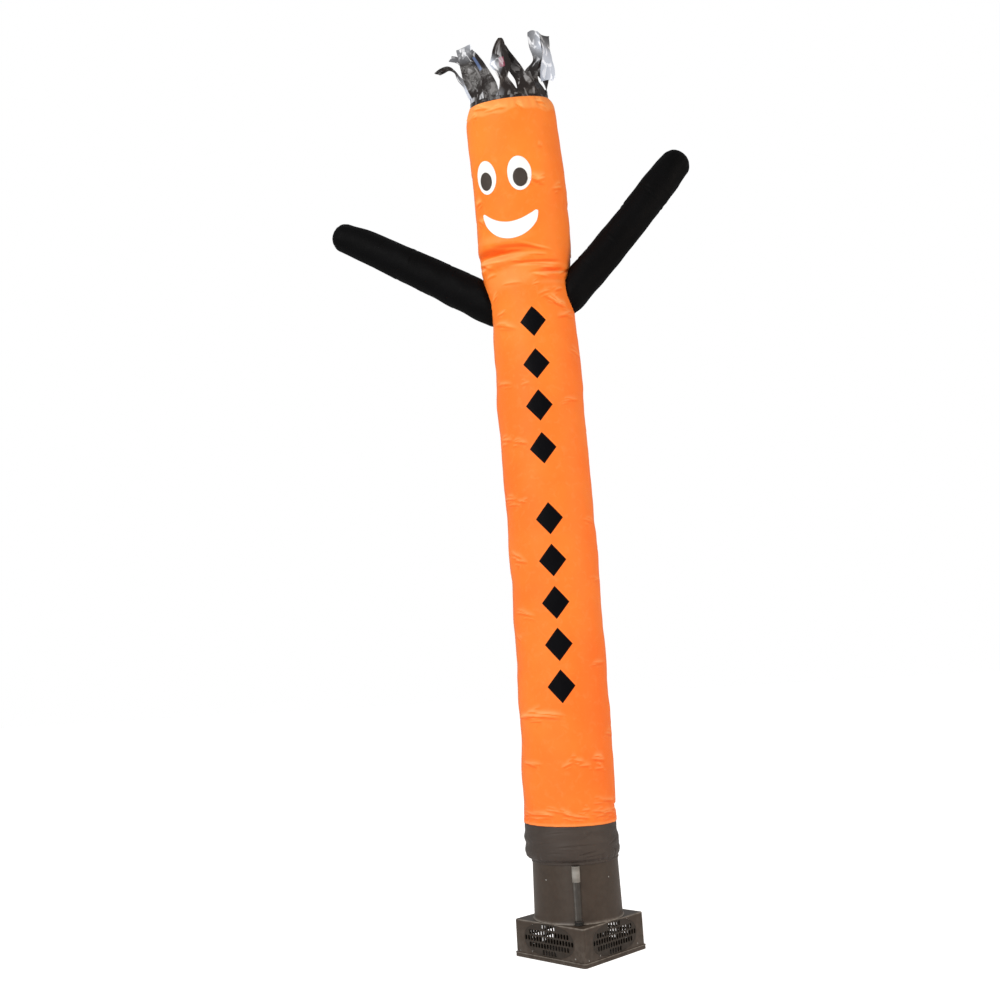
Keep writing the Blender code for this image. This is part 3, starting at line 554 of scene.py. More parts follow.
plate_rows = [[(x, y, z) for x, y in oval(VENT_WIDTH / 2 - inset, VENT_HEIGHT / 2 - inset, VENT_SIDES,
                                          VENT_SQUARENESS)]
              for inset, z in ((PLATE_EASE, -HOUSING_WALL / 2), (0, -HOUSING_WALL / 2 + PLATE_EASE),
                               (0, HOUSING_WALL / 2 - PLATE_EASE), (PLATE_EASE, HOUSING_WALL / 2))]
plate = mesh_of("plate", loft(plate_rows, start_cap=True, end_cap=True), grille_plastic, smooth=0)
plate = grown("plate", plate, pierced, {
    "Width": VENT_WIDTH, "Height": VENT_HEIGHT, "Squareness": VENT_SQUARENESS, "Rim": VENT_RIM,
    "Slot Width": SLOT_WIDTH, "Slot Height": SLOT_HEIGHT, "Column": SLOT_COLUMN, "Row": SLOT_ROW,
    "Columns": SLOT_COLUMNS, "Rows": SLOT_ROWS, "Depth": SLOT_DEPTH, "Finish": grille_plastic})
for quarter in range(4):
    grille = plate.copy()
    grille.transform(vent_place(quarter))
    shade(grille, 30)
    piece(f"grille_{quarter + 1}", grille, "blower_plastic", f"vent_grille_{quarter + 1}")


# ---- Outlet duct -------------------------------------------------------------------------------
# The round duct that guides the air up into the dancer. A slightly tapered cylinder, moulded in the same
# dark plastic, whose flared foot is fixed down on the housing's top.

DUCT_TOP = 0.585
DUCT_RADIUS_TOP = 0.2235
DUCT_FLARE = 0.006
DUCT_SIDES = 144
DUCT_BASE = HOUSING_TOP + GAP


def ring(radius, height, count=DUCT_SIDES):
    """Points round the blower's axis, counterclockwise."""
    turns = [2 * math.pi * i / count for i in range(count)]
    return [(radius * math.cos(a), radius * math.sin(a), height) for a in turns]


def duct_radius(height):
    """The duct's outer radius above its flare."""
    low = HOUSING_TOP + 0.018
    return DUCT_RADIUS_FOOT + (DUCT_RADIUS_TOP - DUCT_RADIUS_FOOT) * (height - low) / (DUCT_TOP - low)


# radius, height, and rubbing with a painted highlight on the flare and the rim: up the flared foot, up the
# wall, over the rim and down inside
duct_profile = [
    *((DUCT_RADIUS_FOOT + out, DUCT_BASE + up, worn_and_lit) for out, up, worn_and_lit in (
        (DUCT_FLARE - 0.0008, 0.0, 0.5), (DUCT_FLARE, 0.0010, 0.9), (0.0045, 0.0030, 0.7),
        (0.0026, 0.0058, 0.3), (0.0012, 0.0100, 0.1), (0.0003, 0.0150, 0.0))),
    *((duct_radius(z), z, 0.0) for z in np.linspace(HOUSING_TOP + 0.020, DUCT_TOP - 0.003, 24)),
    *((DUCT_RADIUS_TOP - inwards, DUCT_TOP - down, worn_and_lit) for inwards, down, worn_and_lit in (
        (0.0, 0.0012, 0.6), (0.0006, 0.0003, 0.9), (0.0015, 0.0, 0.9), (DUCT_WALL - 0.0008, 0.0, 0.6),
        (DUCT_WALL, 0.0008, 0.3))),
    (DUCT_RADIUS_FOOT - DUCT_WALL, DUCT_BASE, 0.0)]
duct_form = loft([ring(r, z) for r, z, _ in duct_profile], closed_along=True)
duct_worn_and_lit = np.repeat([worn_and_lit for _, _, worn_and_lit in duct_profile], DUCT_SIDES)
piece("outlet_duct_dressed", mesh_of("duct", duct_form, blower_plastic, wear_and_highlight=duct_worn_and_lit),
      "blower_plastic", "outlet_duct")


# ---- Cable conduit, its clip and the grommet ---------------------------------------------------
# The motor's cable runs inside a half-round conduit of dark grey plastic up the duct's front. A pale clip
# is fixed over its top end, and a black rubber grommet lets the cable down into the housing.

CONDUIT_TURN = 3
CONDUIT_HALF_WIDTH = 0.0185
CONDUIT_DEPTH = 0.018
CONDUIT_SEAT = 0.004
CONDUIT_FOOT = 0.205
CONDUIT_TOP = 0.471
CONDUIT_STEPS = 22
CLIP_FOOT = CONDUIT_TOP - 0.078
CLIP = 0.0020
GROMMET_RADIUS = 0.023
GROMMET_OUT = 0.008
GROMMET_TOP = CONDUIT_FOOT - GAP
GROMMET_SIDES = 40

# the clip's pale grey also paints the light reflection seen on the conduit's top
clip_plastic = moulded("clip_plastic", (0.175, 0.160, 0.142), (0.42, 0.40, 0.37), 0.40, 0.25)
conduit_plastic = moulded("conduit_plastic", (0.036, 0.031, 0.026), (0.26, 0.25, 0.23), 0.36, 0.15)
grommet_rubber = moulded("grommet_rubber", (0.010, 0.010, 0.010), (0.035, 0.034, 0.033), 0.62, 0.3, bump=0.5)


def half_round(height, larger=0.0):
    """A half-round outline that lies on the duct at a height, seen from above, counterclockwise."""
    half, deep = CONDUIT_HALF_WIDTH + larger, CONDUIT_DEPTH + larger
    bow = [math.pi * i / CONDUIT_STEPS for i in range(CONDUIT_STEPS + 1)]
    front = [(-half * math.cos(a), -DUCT_RADIUS_TOP - deep * math.sin(a) ** 0.9 - CONDUIT_SEAT, height)
             for a in bow]
    back = [(x, -math.sqrt((duct_radius(height) + GAP) ** 2 - x * x), height)
            for x in (half, half / 3, -half / 3, -half)]
    return turned(front + back, -CONDUIT_TURN)


def half_rounds(foot, count, larger, bevel, ease):
    """Half-round outlines from a foot up to the conduit's top, with both ends eased off."""
    return [half_round(foot, larger - ease), half_round(foot + bevel, larger),
            *(half_round(z, larger) for z in np.linspace(foot + 0.01, CONDUIT_TOP - 0.01, count)),
            half_round(CONDUIT_TOP - bevel, larger), half_round(CONDUIT_TOP, larger - ease)]


conduit_rows = half_rounds(CONDUIT_FOOT, 12, 0.0, 0.0010, 0.0010)
# a band up one flank of the conduit is painted paler, a painted highlight with some rubbing
conduit_worn_and_lit = [0.3 if 2 < i < 8 else 0.05 for i in range(len(conduit_rows[0]))] * len(conduit_rows)
piece("cable_conduit", mesh_of("conduit", loft(conduit_rows, start_cap=True, end_cap=True), conduit_plastic,
                               wear_and_highlight=conduit_worn_and_lit), "blower_plastic", "conduit")

# the clip's two skins meet flat against the duct behind the conduit
clip_rows = half_rounds(CLIP_FOOT, 7, GAP + CLIP, 0.0008, 0.0007)
clip_rows += [half_round(CONDUIT_TOP, GAP), half_round(CLIP_FOOT, GAP)]
# the clip is paler round the middle of its height, a painted highlight with some rubbing
clip_worn_and_lit = np.repeat([0.3, 0.2, 0.1, 0.3, 0.6, 0.7, 0.6, 0.3, 0.1, 0.2, 0.3, 0.0, 0.0], len(clip_rows[0]))
piece("clip", mesh_of("clip", loft(clip_rows, closed_along=True), clip_plastic, wear_and_highlight=clip_worn_and_lit),
      "clip_plastic", "conduit_clip")

hub_x, hub_y, _ = turned([(0, -DUCT_RADIUS_FOOT - GROMMET_OUT, 0)], -CONDUIT_TURN)[0]
grommet_rows = [
    [(hub_x + x, hub_y + y, z) for x, y, z in ring(GROMMET_RADIUS - inwards, height, GROMMET_SIDES)]
    for inwards, height in (
        (0.0010, DUCT_BASE), (0.0, DUCT_BASE + 0.0012), (0.0, DUCT_BASE + 0.0050),
        (0.0025, DUCT_BASE + 0.0064), (0.0025, DUCT_BASE + 0.0110), (0.0004, DUCT_BASE + 0.0124),
        (0.0008, GROMMET_TOP - 0.0020), (0.0030, GROMMET_TOP))]
trim_rows = [ring(DUCT_RADIUS_FOOT + out, DUCT_BASE + up) for out, up in (
    (DUCT_FLARE + 0.0006, -0.004), (0.0026, 0.0062), (0.0008, 0.0200), (0.0006, 0.0400))]
grommet = piece("cable_grommet", mesh_of("grommet", loft(grommet_rows, start_cap=True, end_cap=True),
                                         grommet_rubber), "grommet_rubber", "grommet")
cut(grommet, [put("trim", mesh_of("trim", loft(trim_rows, start_cap=True, end_cap=True), grommet_rubber))])


# ---- Screws ------------------------------------------------------------------------------------
# Pan-head screws with a crossed slot: four hold the duct's inner ring, and others along the foot of each
# wall hold the tray. Bright zinc-plated steel, gone a little dull.

SCREW_RADIUS = 0.0042
SCREW_RISE = 0.0020
SCREW_SLOT = 0.0010
DUCT_SCREW_HEIGHT = 0.399
DUCT_SCREW_AZIMUTHS = (-46, 44, 134, 224)
TRAY_SCREWS = ((-0.207, 0.031), (-0.121, 0.037), (0.177, 0.037))  # along each wall, and up

screw_steel, tree, shader = finish_for("screw_steel")
scratch = noise(tree, add(tree, "ShaderNodeTexCoord").outputs["Object"], 700.0, 3.0)
feed(tree, shader, Base_Color=mix(tree, "MIX", scratch, (0.20, 0.19, 0.18, 1), (0.42, 0.41, 0.39, 1)),
     Roughness=spread(tree, scratch, 0.3, 0.7, 0.26, 0.46), Metallic=1.0)


def moved(tree, geometry, **how):
    """A geometry moved, turned or scaled."""
    return add(tree, "GeometryNodeTransform", {"Geometry": geometry, **how}).outputs["Geometry"]


def stood_out(tree):
    """The rotation that stands a thing up along the way out that its point is marked with."""
    out = add(tree, "GeometryNodeInputNamedAttribute", {"Name": "out"}, data_type="FLOAT_VECTOR")
    return add(tree, "FunctionNodeAlignRotationToVector", {"Vector": out.outputs["Attribute"]},
               axis="Z").outputs["Rotation"]


pan_heads, asks = geometry_tree("pan_heads", ("Radius", "Rise", "Slot"))
tree, rise = pan_heads, asks["Rise"]
ball = add(tree, "GeometryNodeMeshUVSphere", {"Segments": 20, "Rings": 10, "Radius": 1.0}).outputs["Mesh"]
dome = moved(tree, ball, Scale=vector(tree, X=asks["Radius"], Y=asks["Radius"], Z=rise))
length = sums(tree, "MULTIPLY", asks["Radius"], 1.15)
blade = add(tree, "GeometryNodeMeshCube", {"Size": vector(tree, X=length, Y=asks["Slot"], Z=rise)})
blade = moved(tree, blade.outputs["Mesh"], Translation=vector(tree, Z=rise))
head = less(tree, less(tree, dome, blade), moved(tree, blade, Rotation=(0.0, 0.0, math.pi / 2)))
close_tree(tree, set_on(tree, asks["Geometry"], head, Rotation=stood_out(tree)), asks["Finish"])

places, outs = [], []
for azimuth in DUCT_SCREW_AZIMUTHS:
    a = math.radians(azimuth)
    outs.append(Vector((math.sin(a), -math.cos(a), 0)))
    places.append(outs[-1] * duct_radius(DUCT_SCREW_HEIGHT) + Vector((0, 0, DUCT_SCREW_HEIGHT)))
for quarter in range(4):
    wall = Matrix.Rotation(math.radians(BLOWER_TURN + 90 * quarter), 4, "Z")
    for x, z in TRAY_SCREWS:
        outs.append(wall.to_3x3() @ Vector((0, -1, 0)))
        places.append(wall @ Vector((x, -SIDE / 2, z)))
screws = plain_mesh("screw_places", places)
mark(screws, "out", outs)
screws = grown("screws", screws, pan_heads, {"Radius": SCREW_RADIUS, "Rise": SCREW_RISE, "Slot": SCREW_SLOT,
                                             "Finish": screw_steel})
shade(screws, 40)
piece("screws", screws, "blower_plastic")


# ---- Cuff --------------------------------------------------------------------------------------
# The dark nylon sleeve that slips over the blower's duct. Its upper edge is sewn inside the tube's hem, and
# an elastic in its lower hem draws it in below the duct's rim, so that the cloth gathers and bags above it.

HEM = 0.667
LAP = 0.018
CLOTH = 0.0015
CUFF_RADIUS = 0.247
CUFF_AROUND = 240
CUFF_TURNED = 7  # rows of the lower hem that are turned in
CUFF_INSET = 0.0026
TUBE_SECTIONS = (
    # height, aside, back, half width and half depth of the blown-up tube
    (0.6, -0.014, 0.0, 0.2425, 0.2425), (0.8, -0.009, 0.0, 0.2475, 0.246),
    (1.05, -0.005, 0.0, 0.2445, 0.245), (1.6, -0.006, 0.0, 0.243, 0.246),
    (2.25, -0.012, 0.0, 0.2425, 0.2465), (2.9, -0.027, 0.002, 0.2435, 0.2455),
    (3.3, -0.031, 0.006, 0.242, 0.2465), (3.5, -0.038, 0.006, 0.237, 0.25),
    (3.66, -0.056, -0.004, 0.245, 0.242), (3.8, -0.064, -0.03, 0.262, 0.225),
    (3.95, -0.066, -0.078, 0.264, 0.223), (4.2, -0.077, -0.16, 0.263, 0.224),
    (4.45, -0.097, -0.24, 0.257, 0.232), (4.56, -0.104, -0.275, 0.25, 0.235),
    (4.6, -0.107, -0.287, 0.238, 0.225), (4.622, -0.109, -0.294, 0.226, 0.213),
    (4.672, -0.111, -0.311, 0.221, 0.207), (4.74, -0.114, -0.335, 0.215, 0.201),
)
CUFF_SECTIONS = (
    # height, radius and shift aside
    (0.474, 0.229, 0.0), (0.486, 0.2292, 0.0), (0.492, 0.234, -0.004), (0.499, 0.2425, -0.008),
    (0.51, 0.247, -0.01), (0.545, 0.249, -0.01), (0.6, 0.247, -0.012), (0.64, 0.244, -0.013),
    (0.663, 0.2432, -0.013),
)
CUFF_CREASES = (
    # height and azimuth of both ends, depth, half width
    (0.566, -22, 0.572, 26, 0.0045, 0.0075), (0.551, -18, 0.547, 8, 0.0022, 0.006),
    (0.533, -40, 0.54, -12, 0.0026, 0.007), (0.521, 2, 0.541, 28, 0.005, 0.0075),
    (0.508, 10, 0.52, 40, 0.004, 0.006), (0.598, 8, 0.64, 24, 0.0028, 0.009),
    (0.575, -52, 0.59, -30, 0.0026, 0.007), (0.616, -72, 0.585, -58, 0.003, 0.008),
    (0.56, 44, 0.586, 66, 0.0034, 0.008), (0.612, 60, 0.64, 84, 0.0032, 0.008),
    (0.536, 70, 0.552, 96, 0.0036, 0.007), (0.655, -16, 0.648, 18, 0.0018, 0.005),
    (0.628, -38, 0.642, -6, 0.0018, 0.007), (0.58, 118, 0.604, 150, 0.0036, 0.008),
    (0.548, 150, 0.556, 186, 0.0034, 0.007), (0.62, -168, 0.6, -132, 0.0034, 0.008),
    (0.545, -150, 0.56, -112, 0.0036, 0.0075), (0.64, 110, 0.622, 138, 0.0024, 0.007),
    (0.596, -120, 0.572, -98, 0.0036, 0.008),
)


def between(table, at):
    """A table's rows at the given heights or distances, on a smooth curve."""
    rows = np.array(table, float)
    place = rows[:, 0]
    slopes = np.gradient(rows, place, axis=0)
    at = np.clip(at, place[0], place[-1])
    i = np.clip(np.searchsorted(place, at, side="right") - 1, 0, len(place) - 2)
    step = (place[i + 1] - place[i])[..., None]
    t = ((at - place[i])[..., None]) / step
    return ((2 * t**3 - 3 * t**2 + 1) * rows[i] + (t**3 - 2 * t**2 + t) * step * slopes[i]
            + (3 * t**2 - 2 * t**3) * rows[i + 1] + (t**3 - t**2) * step * slopes[i + 1])


def tube_axes(height):
    """The tube's middle at some heights, and its section's axes: to +X, to the back, and up along it."""
    def middle(h):
        row = between(TUBE_SECTIONS, h)
        return np.stack([row[..., 1], row[..., 2], h], -1)
    up = middle(height + 0.03) - middle(height - 0.03)
    up /= np.linalg.norm(up, axis=-1, keepdims=True)
    back = np.array([0.0, 1.0, 0.0]) - up * up[..., 1:2]
    back /= np.linalg.norm(back, axis=-1, keepdims=True)
    return middle(height), np.cross(back, up), back, up


def tube_surface(height, azimuth, out=0.0):
    """Points of the blown-up tube; azimuth in degrees from the front towards +X; out lifts them off it."""
    middle, side, back, _ = tube_axes(height)
    row = between(TUBE_SECTIONS, height)
    a = np.radians(azimuth)
    return (middle + side * ((row[..., 3] + out) * np.sin(a))[..., None]
            - back * ((row[..., 4] + out) * np.cos(a))[..., None])


def ramp(value, length):
    """From 0 to 1 over a length."""
    return np.clip(value / length, 0, 1)


def hump(offset, softness, power=2):
    """A soft bump where the offset is 0, squarer with a higher power."""
    return np.exp(-((offset / softness) ** power))


def soft_step(value, softness):
    """From 0 to 1 where the value passes 0."""
    return 1 / (1 + np.exp(-np.clip(value / softness, -30, 30)))


def strokes(height, azimuth, table, radius):
    """Creases pressed in the cloth: each row runs from one height and azimuth to another, with its depth
    and half width; a crease has a fold on its upper side and a hollow under it, and fades at its ends."""
    relief = np.zeros(np.shape(height))
    around = np.radians(azimuth) * radius
    for h1, a1, h2, a2, depth, width in table:
        x1, x2 = math.radians(a1) * radius, math.radians(a2) * radius
        run = np.array([x2 - x1, h2 - h1])
        length = float(np.hypot(*run)) + 1e-9
        run /= length
        lean = 1.0 if run[0] >= 0 else -1.0
        along = ((around - x1) * run[0] + (height - h1) * run[1]) / length
        inside = np.clip(along, 0, 1)
        bow = 0.025 * length * np.sin(inside * math.pi)
        off = (-(around - x1) * run[1] + (height - h1) * run[0]) * lean - bow
        t = off / (width * (0.75 + 0.5 * inside))
        fade = np.clip(1.15 * np.sin(math.pi * ramp(along + 0.08, 1.16)), 0, 1) ** 1.4
        fold = 0.95 * soft_step(t, 0.24) * np.exp(-np.clip(t, 0, None) / 1.1) - 0.80 * hump(t + 0.50, 0.55)
        relief += depth * fade * fold
    return relief


def rumple(height, azimuth, seed, size, amount):
    """A slow seeded unevenness that joins up all the way round."""
    random = np.random.default_rng(seed)
    relief = np.zeros(np.shape(height))
    for _ in range(9):
        turns = random.integers(1, 7)
        rise = random.uniform(0.4, 2.2) / size
        start = random.uniform(0, 2 * math.pi, 2)
        relief += (np.sin(np.radians(azimuth) * turns + start[0])
                   * np.sin(height * rise * 2 * math.pi + start[1]))
    return amount * relief / 3.0


def lay_grid(heights, count):
    """Heights and azimuths of a sleeve's rows, counterclockwise from the back."""
    azimuth = -180 + 360 * np.arange(count) / count
    return np.meshgrid(heights, azimuth, indexing="ij")


def sleeve_uv(height, azimuth, radius):
    """Flat cloth coordinates in metres: round the sleeve from the back, and up it."""
    return np.stack([np.radians(azimuth + 180) * radius, height], -1).reshape(-1, 2)


def sleeve_mesh(name, form, finish, uv, radius):
    """A sleeve's mesh, whose last faces' flat cloth is carried past the seam so that it doesn't run back."""
    made = mesh_of(name, form, finish, smooth=180, uv=uv)
    around = 2 * math.pi * radius
    layer = made.uv_layers["UVMap"].data
    flat = np.empty(len(layer) * 2, np.float32)
    layer.foreach_get("uv", flat)
    start, total = (np.empty(len(made.polygons), np.int32) for _ in range(2))
    made.polygons.foreach_get("loop_start", start)
    made.polygons.foreach_get("loop_total", total)
    for a, n in zip(start, total):
        us = flat[2 * a:2 * (a + n):2]
        if us.max() - us.min() > around / 2:
            us[us < around / 2] += around
    layer.foreach_set("uv", flat)
    return made


def cloth_place(tree):
    """The place on a piece's flat cloth."""
    return add(tree, "ShaderNodeUVMap", uv_map="UVMap").outputs["UV"]


# Woven nylon seen close: fine threads, a ripstop grid of heavier threads and the cloth's slow crumple
nylon_weave, given, gives = shader_group(
    "nylon_weave", {"UV": (0.0, 0.0, 0.0), "Grid": 190.0, "Thread": 1500.0, "Crumple": 26.0, "Weave": 0.25,
                    "Crumples": 1.0}, {"Height": FLOAT, "Grid": FLOAT, "Crumple": FLOAT})
tree = nylon_weave
ways = [part_of(tree, given["UV"], axis) for axis in "XY"]
cells = [sums(tree, "FRACT", sums(tree, "MULTIPLY", way, given["Grid"])) for way in ways]
grid = sums(tree, "MAXIMUM", *(sums(tree, "LESS_THAN", cell, 0.16) for cell in cells))
threads = [sums(tree, "SINE", sums(tree, "MULTIPLY", way, given["Thread"])) for way in ways]
crumple = noise(tree, given["UV"], given["Crumple"], 4.0, Roughness=0.55, Distortion=0.6)
fine = sums(tree, "MULTIPLY_ADD", sums(tree, "MULTIPLY", *threads), 0.5, grid)
height = sums(tree, "MULTIPLY", fine, given["Weave"])
join(tree, sums(tree, "MULTIPLY_ADD", crumple, given["Crumples"], height), gives["Height"])
join(tree, grid, gives["Grid"])
join(tree, crumple, gives["Crumple"])


def woven(name, colour, deep, painted_highlight, roughness, sheen, crumples=1.0, gloss=0.30, hollow=(0.70, 0.70, 0.70)):
    """A woven nylon finish in three tones, with painted highlights on its crumple's crests, and painted
    highlights and shade from the folds that are marked on it.
    """
    made, tree, shader = finish_for(name)
    flat = cloth_place(tree)
    cloth = add(tree, "ShaderNodeGroup", {"UV": flat, "Crumples": crumples}, node_tree=nylon_weave).outputs
    fold = marked(tree, "fold")
    # the painted shade for the folds' hollows: the deep tone darkened by hollow
    painted_fold_shade = (*(v * share for v, share in zip(deep, hollow)), 1)
    colour, deep, painted_highlight = (*colour, 1), (*deep, 1), (*painted_highlight, 1)
    tone = mix(tree, "MIX", spread(tree, noise(tree, flat, 2.6, 3.0), 0.36, 0.66), deep, colour)
    # painted highlight on the crumple's crests
    tone = mix(tree, "MIX", spread(tree, cloth["Crumple"], 0.52, 0.78, 0.0, 0.18), tone, painted_highlight)
    tone = mix(tree, "MULTIPLY", sums(tree, "MULTIPLY", cloth["Grid"], 0.18), tone, deep)
    # painted highlights and painted shade where folds are marked
    tone = mix(tree, "MIX", spread(tree, fold, 0.05, 1.0, 0.0, 0.95), tone, painted_highlight)
    tone = mix(tree, "MIX", spread(tree, fold, -0.05, -1.0, 0.0, 0.85), tone, painted_fold_shade)
    relief = add(tree, "ShaderNodeBump", {"Height": cloth["Height"], "Strength": 0.35, "Distance": 0.0022})
    feed(tree, shader, Base_Color=tone, Normal=relief.outputs["Normal"], Sheen_Weight=sheen,
         Roughness=spread(tree, cloth["Crumple"], 0.3, 0.7, roughness - 0.05, roughness + 0.07),
         Sheen_Roughness=0.45, Specular_IOR_Level=gloss)
    return made


dark_nylon = woven("dark_nylon", (0.056, 0.041, 0.033), (0.042, 0.031, 0.025), (0.110, 0.088, 0.074), 0.50,
                   0.05)


def about(radius, aside, turns, height):
    """Points about an upright line set aside from the blower's axis."""
    return np.stack([aside + radius * np.sin(turns), -radius * np.cos(turns), height], -1)


H, A = lay_grid(np.concatenate([np.linspace(0.474, 0.486, CUFF_TURNED), np.linspace(0.4875, 0.512, 14),
                                np.linspace(0.5145, 0.657, 48), np.linspace(0.6595, 0.663, 2)]), CUFF_AROUND)
turns = np.radians(A)
row = between(CUFF_SECTIONS, H)
radius, aside = row[..., 1], row[..., 2]
random = np.random.default_rng(5)
pleated = sum(np.sin(turns * k + random.uniform(0, 6.28)) * w
              for k, w in ((23, 0.5), (31, 0.8), (44, 0.7), (58, 0.5)))
# drawn creases, gathers over the elastic, bagging above it, and the elastic's own ridge
relief = strokes(H, A, CUFF_CREASES, CUFF_RADIUS)
relief += 0.0011 * (ramp(0.545 - H, 0.045) * ramp(H - 0.4835, 0.008)) * pleated
relief += ramp(H - 0.500, 0.03) * ramp(0.660 - H, 0.03) * rumple(H, A, 11, 0.11, 0.0030)
relief += 0.0022 * hump(H - 0.4805, 0.0042) + 0.0006 * np.sin(turns * 74) * hump(H - 0.479, 0.006)
turned_in = slice(CUFF_TURNED - 1, None, -1)
H2, A2 = lay_grid([HEM + 0.001, HEM + 0.006, HEM + LAP], CUFF_AROUND)
cuff_rows = np.concatenate([about(radius - CUFF_INSET, aside, turns, H + 0.0006)[turned_in],
                            about(radius + relief, aside, turns, H),
                            tube_surface(H2, A2, -(CLOTH + CUFF_INSET))])
cuff_uv = sleeve_uv(np.concatenate([H[turned_in] - 0.024, H, H2]), np.concatenate([A[turned_in], A, A2]),
                    CUFF_RADIUS)
cuff = piece("cuff_dressed", sleeve_mesh("cuff", loft(cuff_rows), dark_nylon, cuff_uv, CUFF_RADIUS),
             "dark_nylon", "cuff")


# ---- The big tube ------------------------------------------------------------------------------
# One sleeve of orange ripstop nylon, sewn up its two sides and blown up by the blower; its upper end is the
# head. The cloth buckles where the neck bows, puckers along the seams, and is hemmed at both ends. A column
# of plain black lozenges is printed up its front.

CROWN = 4.622
TUBE_RADIUS = 0.245
TUBE_AROUND = 204
SEAM_AZIMUTHS = (-92, 92)
HEM_STITCH = 0.0235  # the stitch lines, from the tube's lower and upper edges
CROWN_STITCH = 0.0195
HEM_INSET = 0.0026  # how far in the turned-down ends run
CROWN_INSET = 0.0024
TURNED_SHARE = 0.65
ROW_STEP = 0.0200  # between the cloth's rows, and closer over creases, the neck, both ends and their hems
CREASE_STEP = 0.0064
NECK_STEP = 0.0080
END_STEP = 0.0048
HEM_STEP = 0.0035
BUCKLES = (
    # height, azimuth, half reach and softness, depth, and climb towards +X; a ridge's depth is negative
    (3.824, -44, 70, 0.024, 0.036, 0.02), (3.885, -36, 72, 0.04, -0.01, 0.02),
    (3.765, -46, 58, 0.026, -0.009, 0.026), (3.864, -16, 36, 0.012, 0.009, -0.004),
    (3.86, 12, 28, 0.01, -0.008, -0.036), (3.751, 14, 46, 0.012, 0.015, -0.004),
    (3.688, 38, 46, 0.014, 0.017, 0.014), (3.768, -74, 28, 0.012, 0.01, -0.006),
    (3.62, 34, 44, 0.022, 0.006, 0.01), (0.742, 95, 42, 0.016, 0.01, 0.0),
    (3.846, 150, 60, 0.03, 0.006, 0.01), (3.742, -150, 50, 0.026, 0.005, -0.01),
)
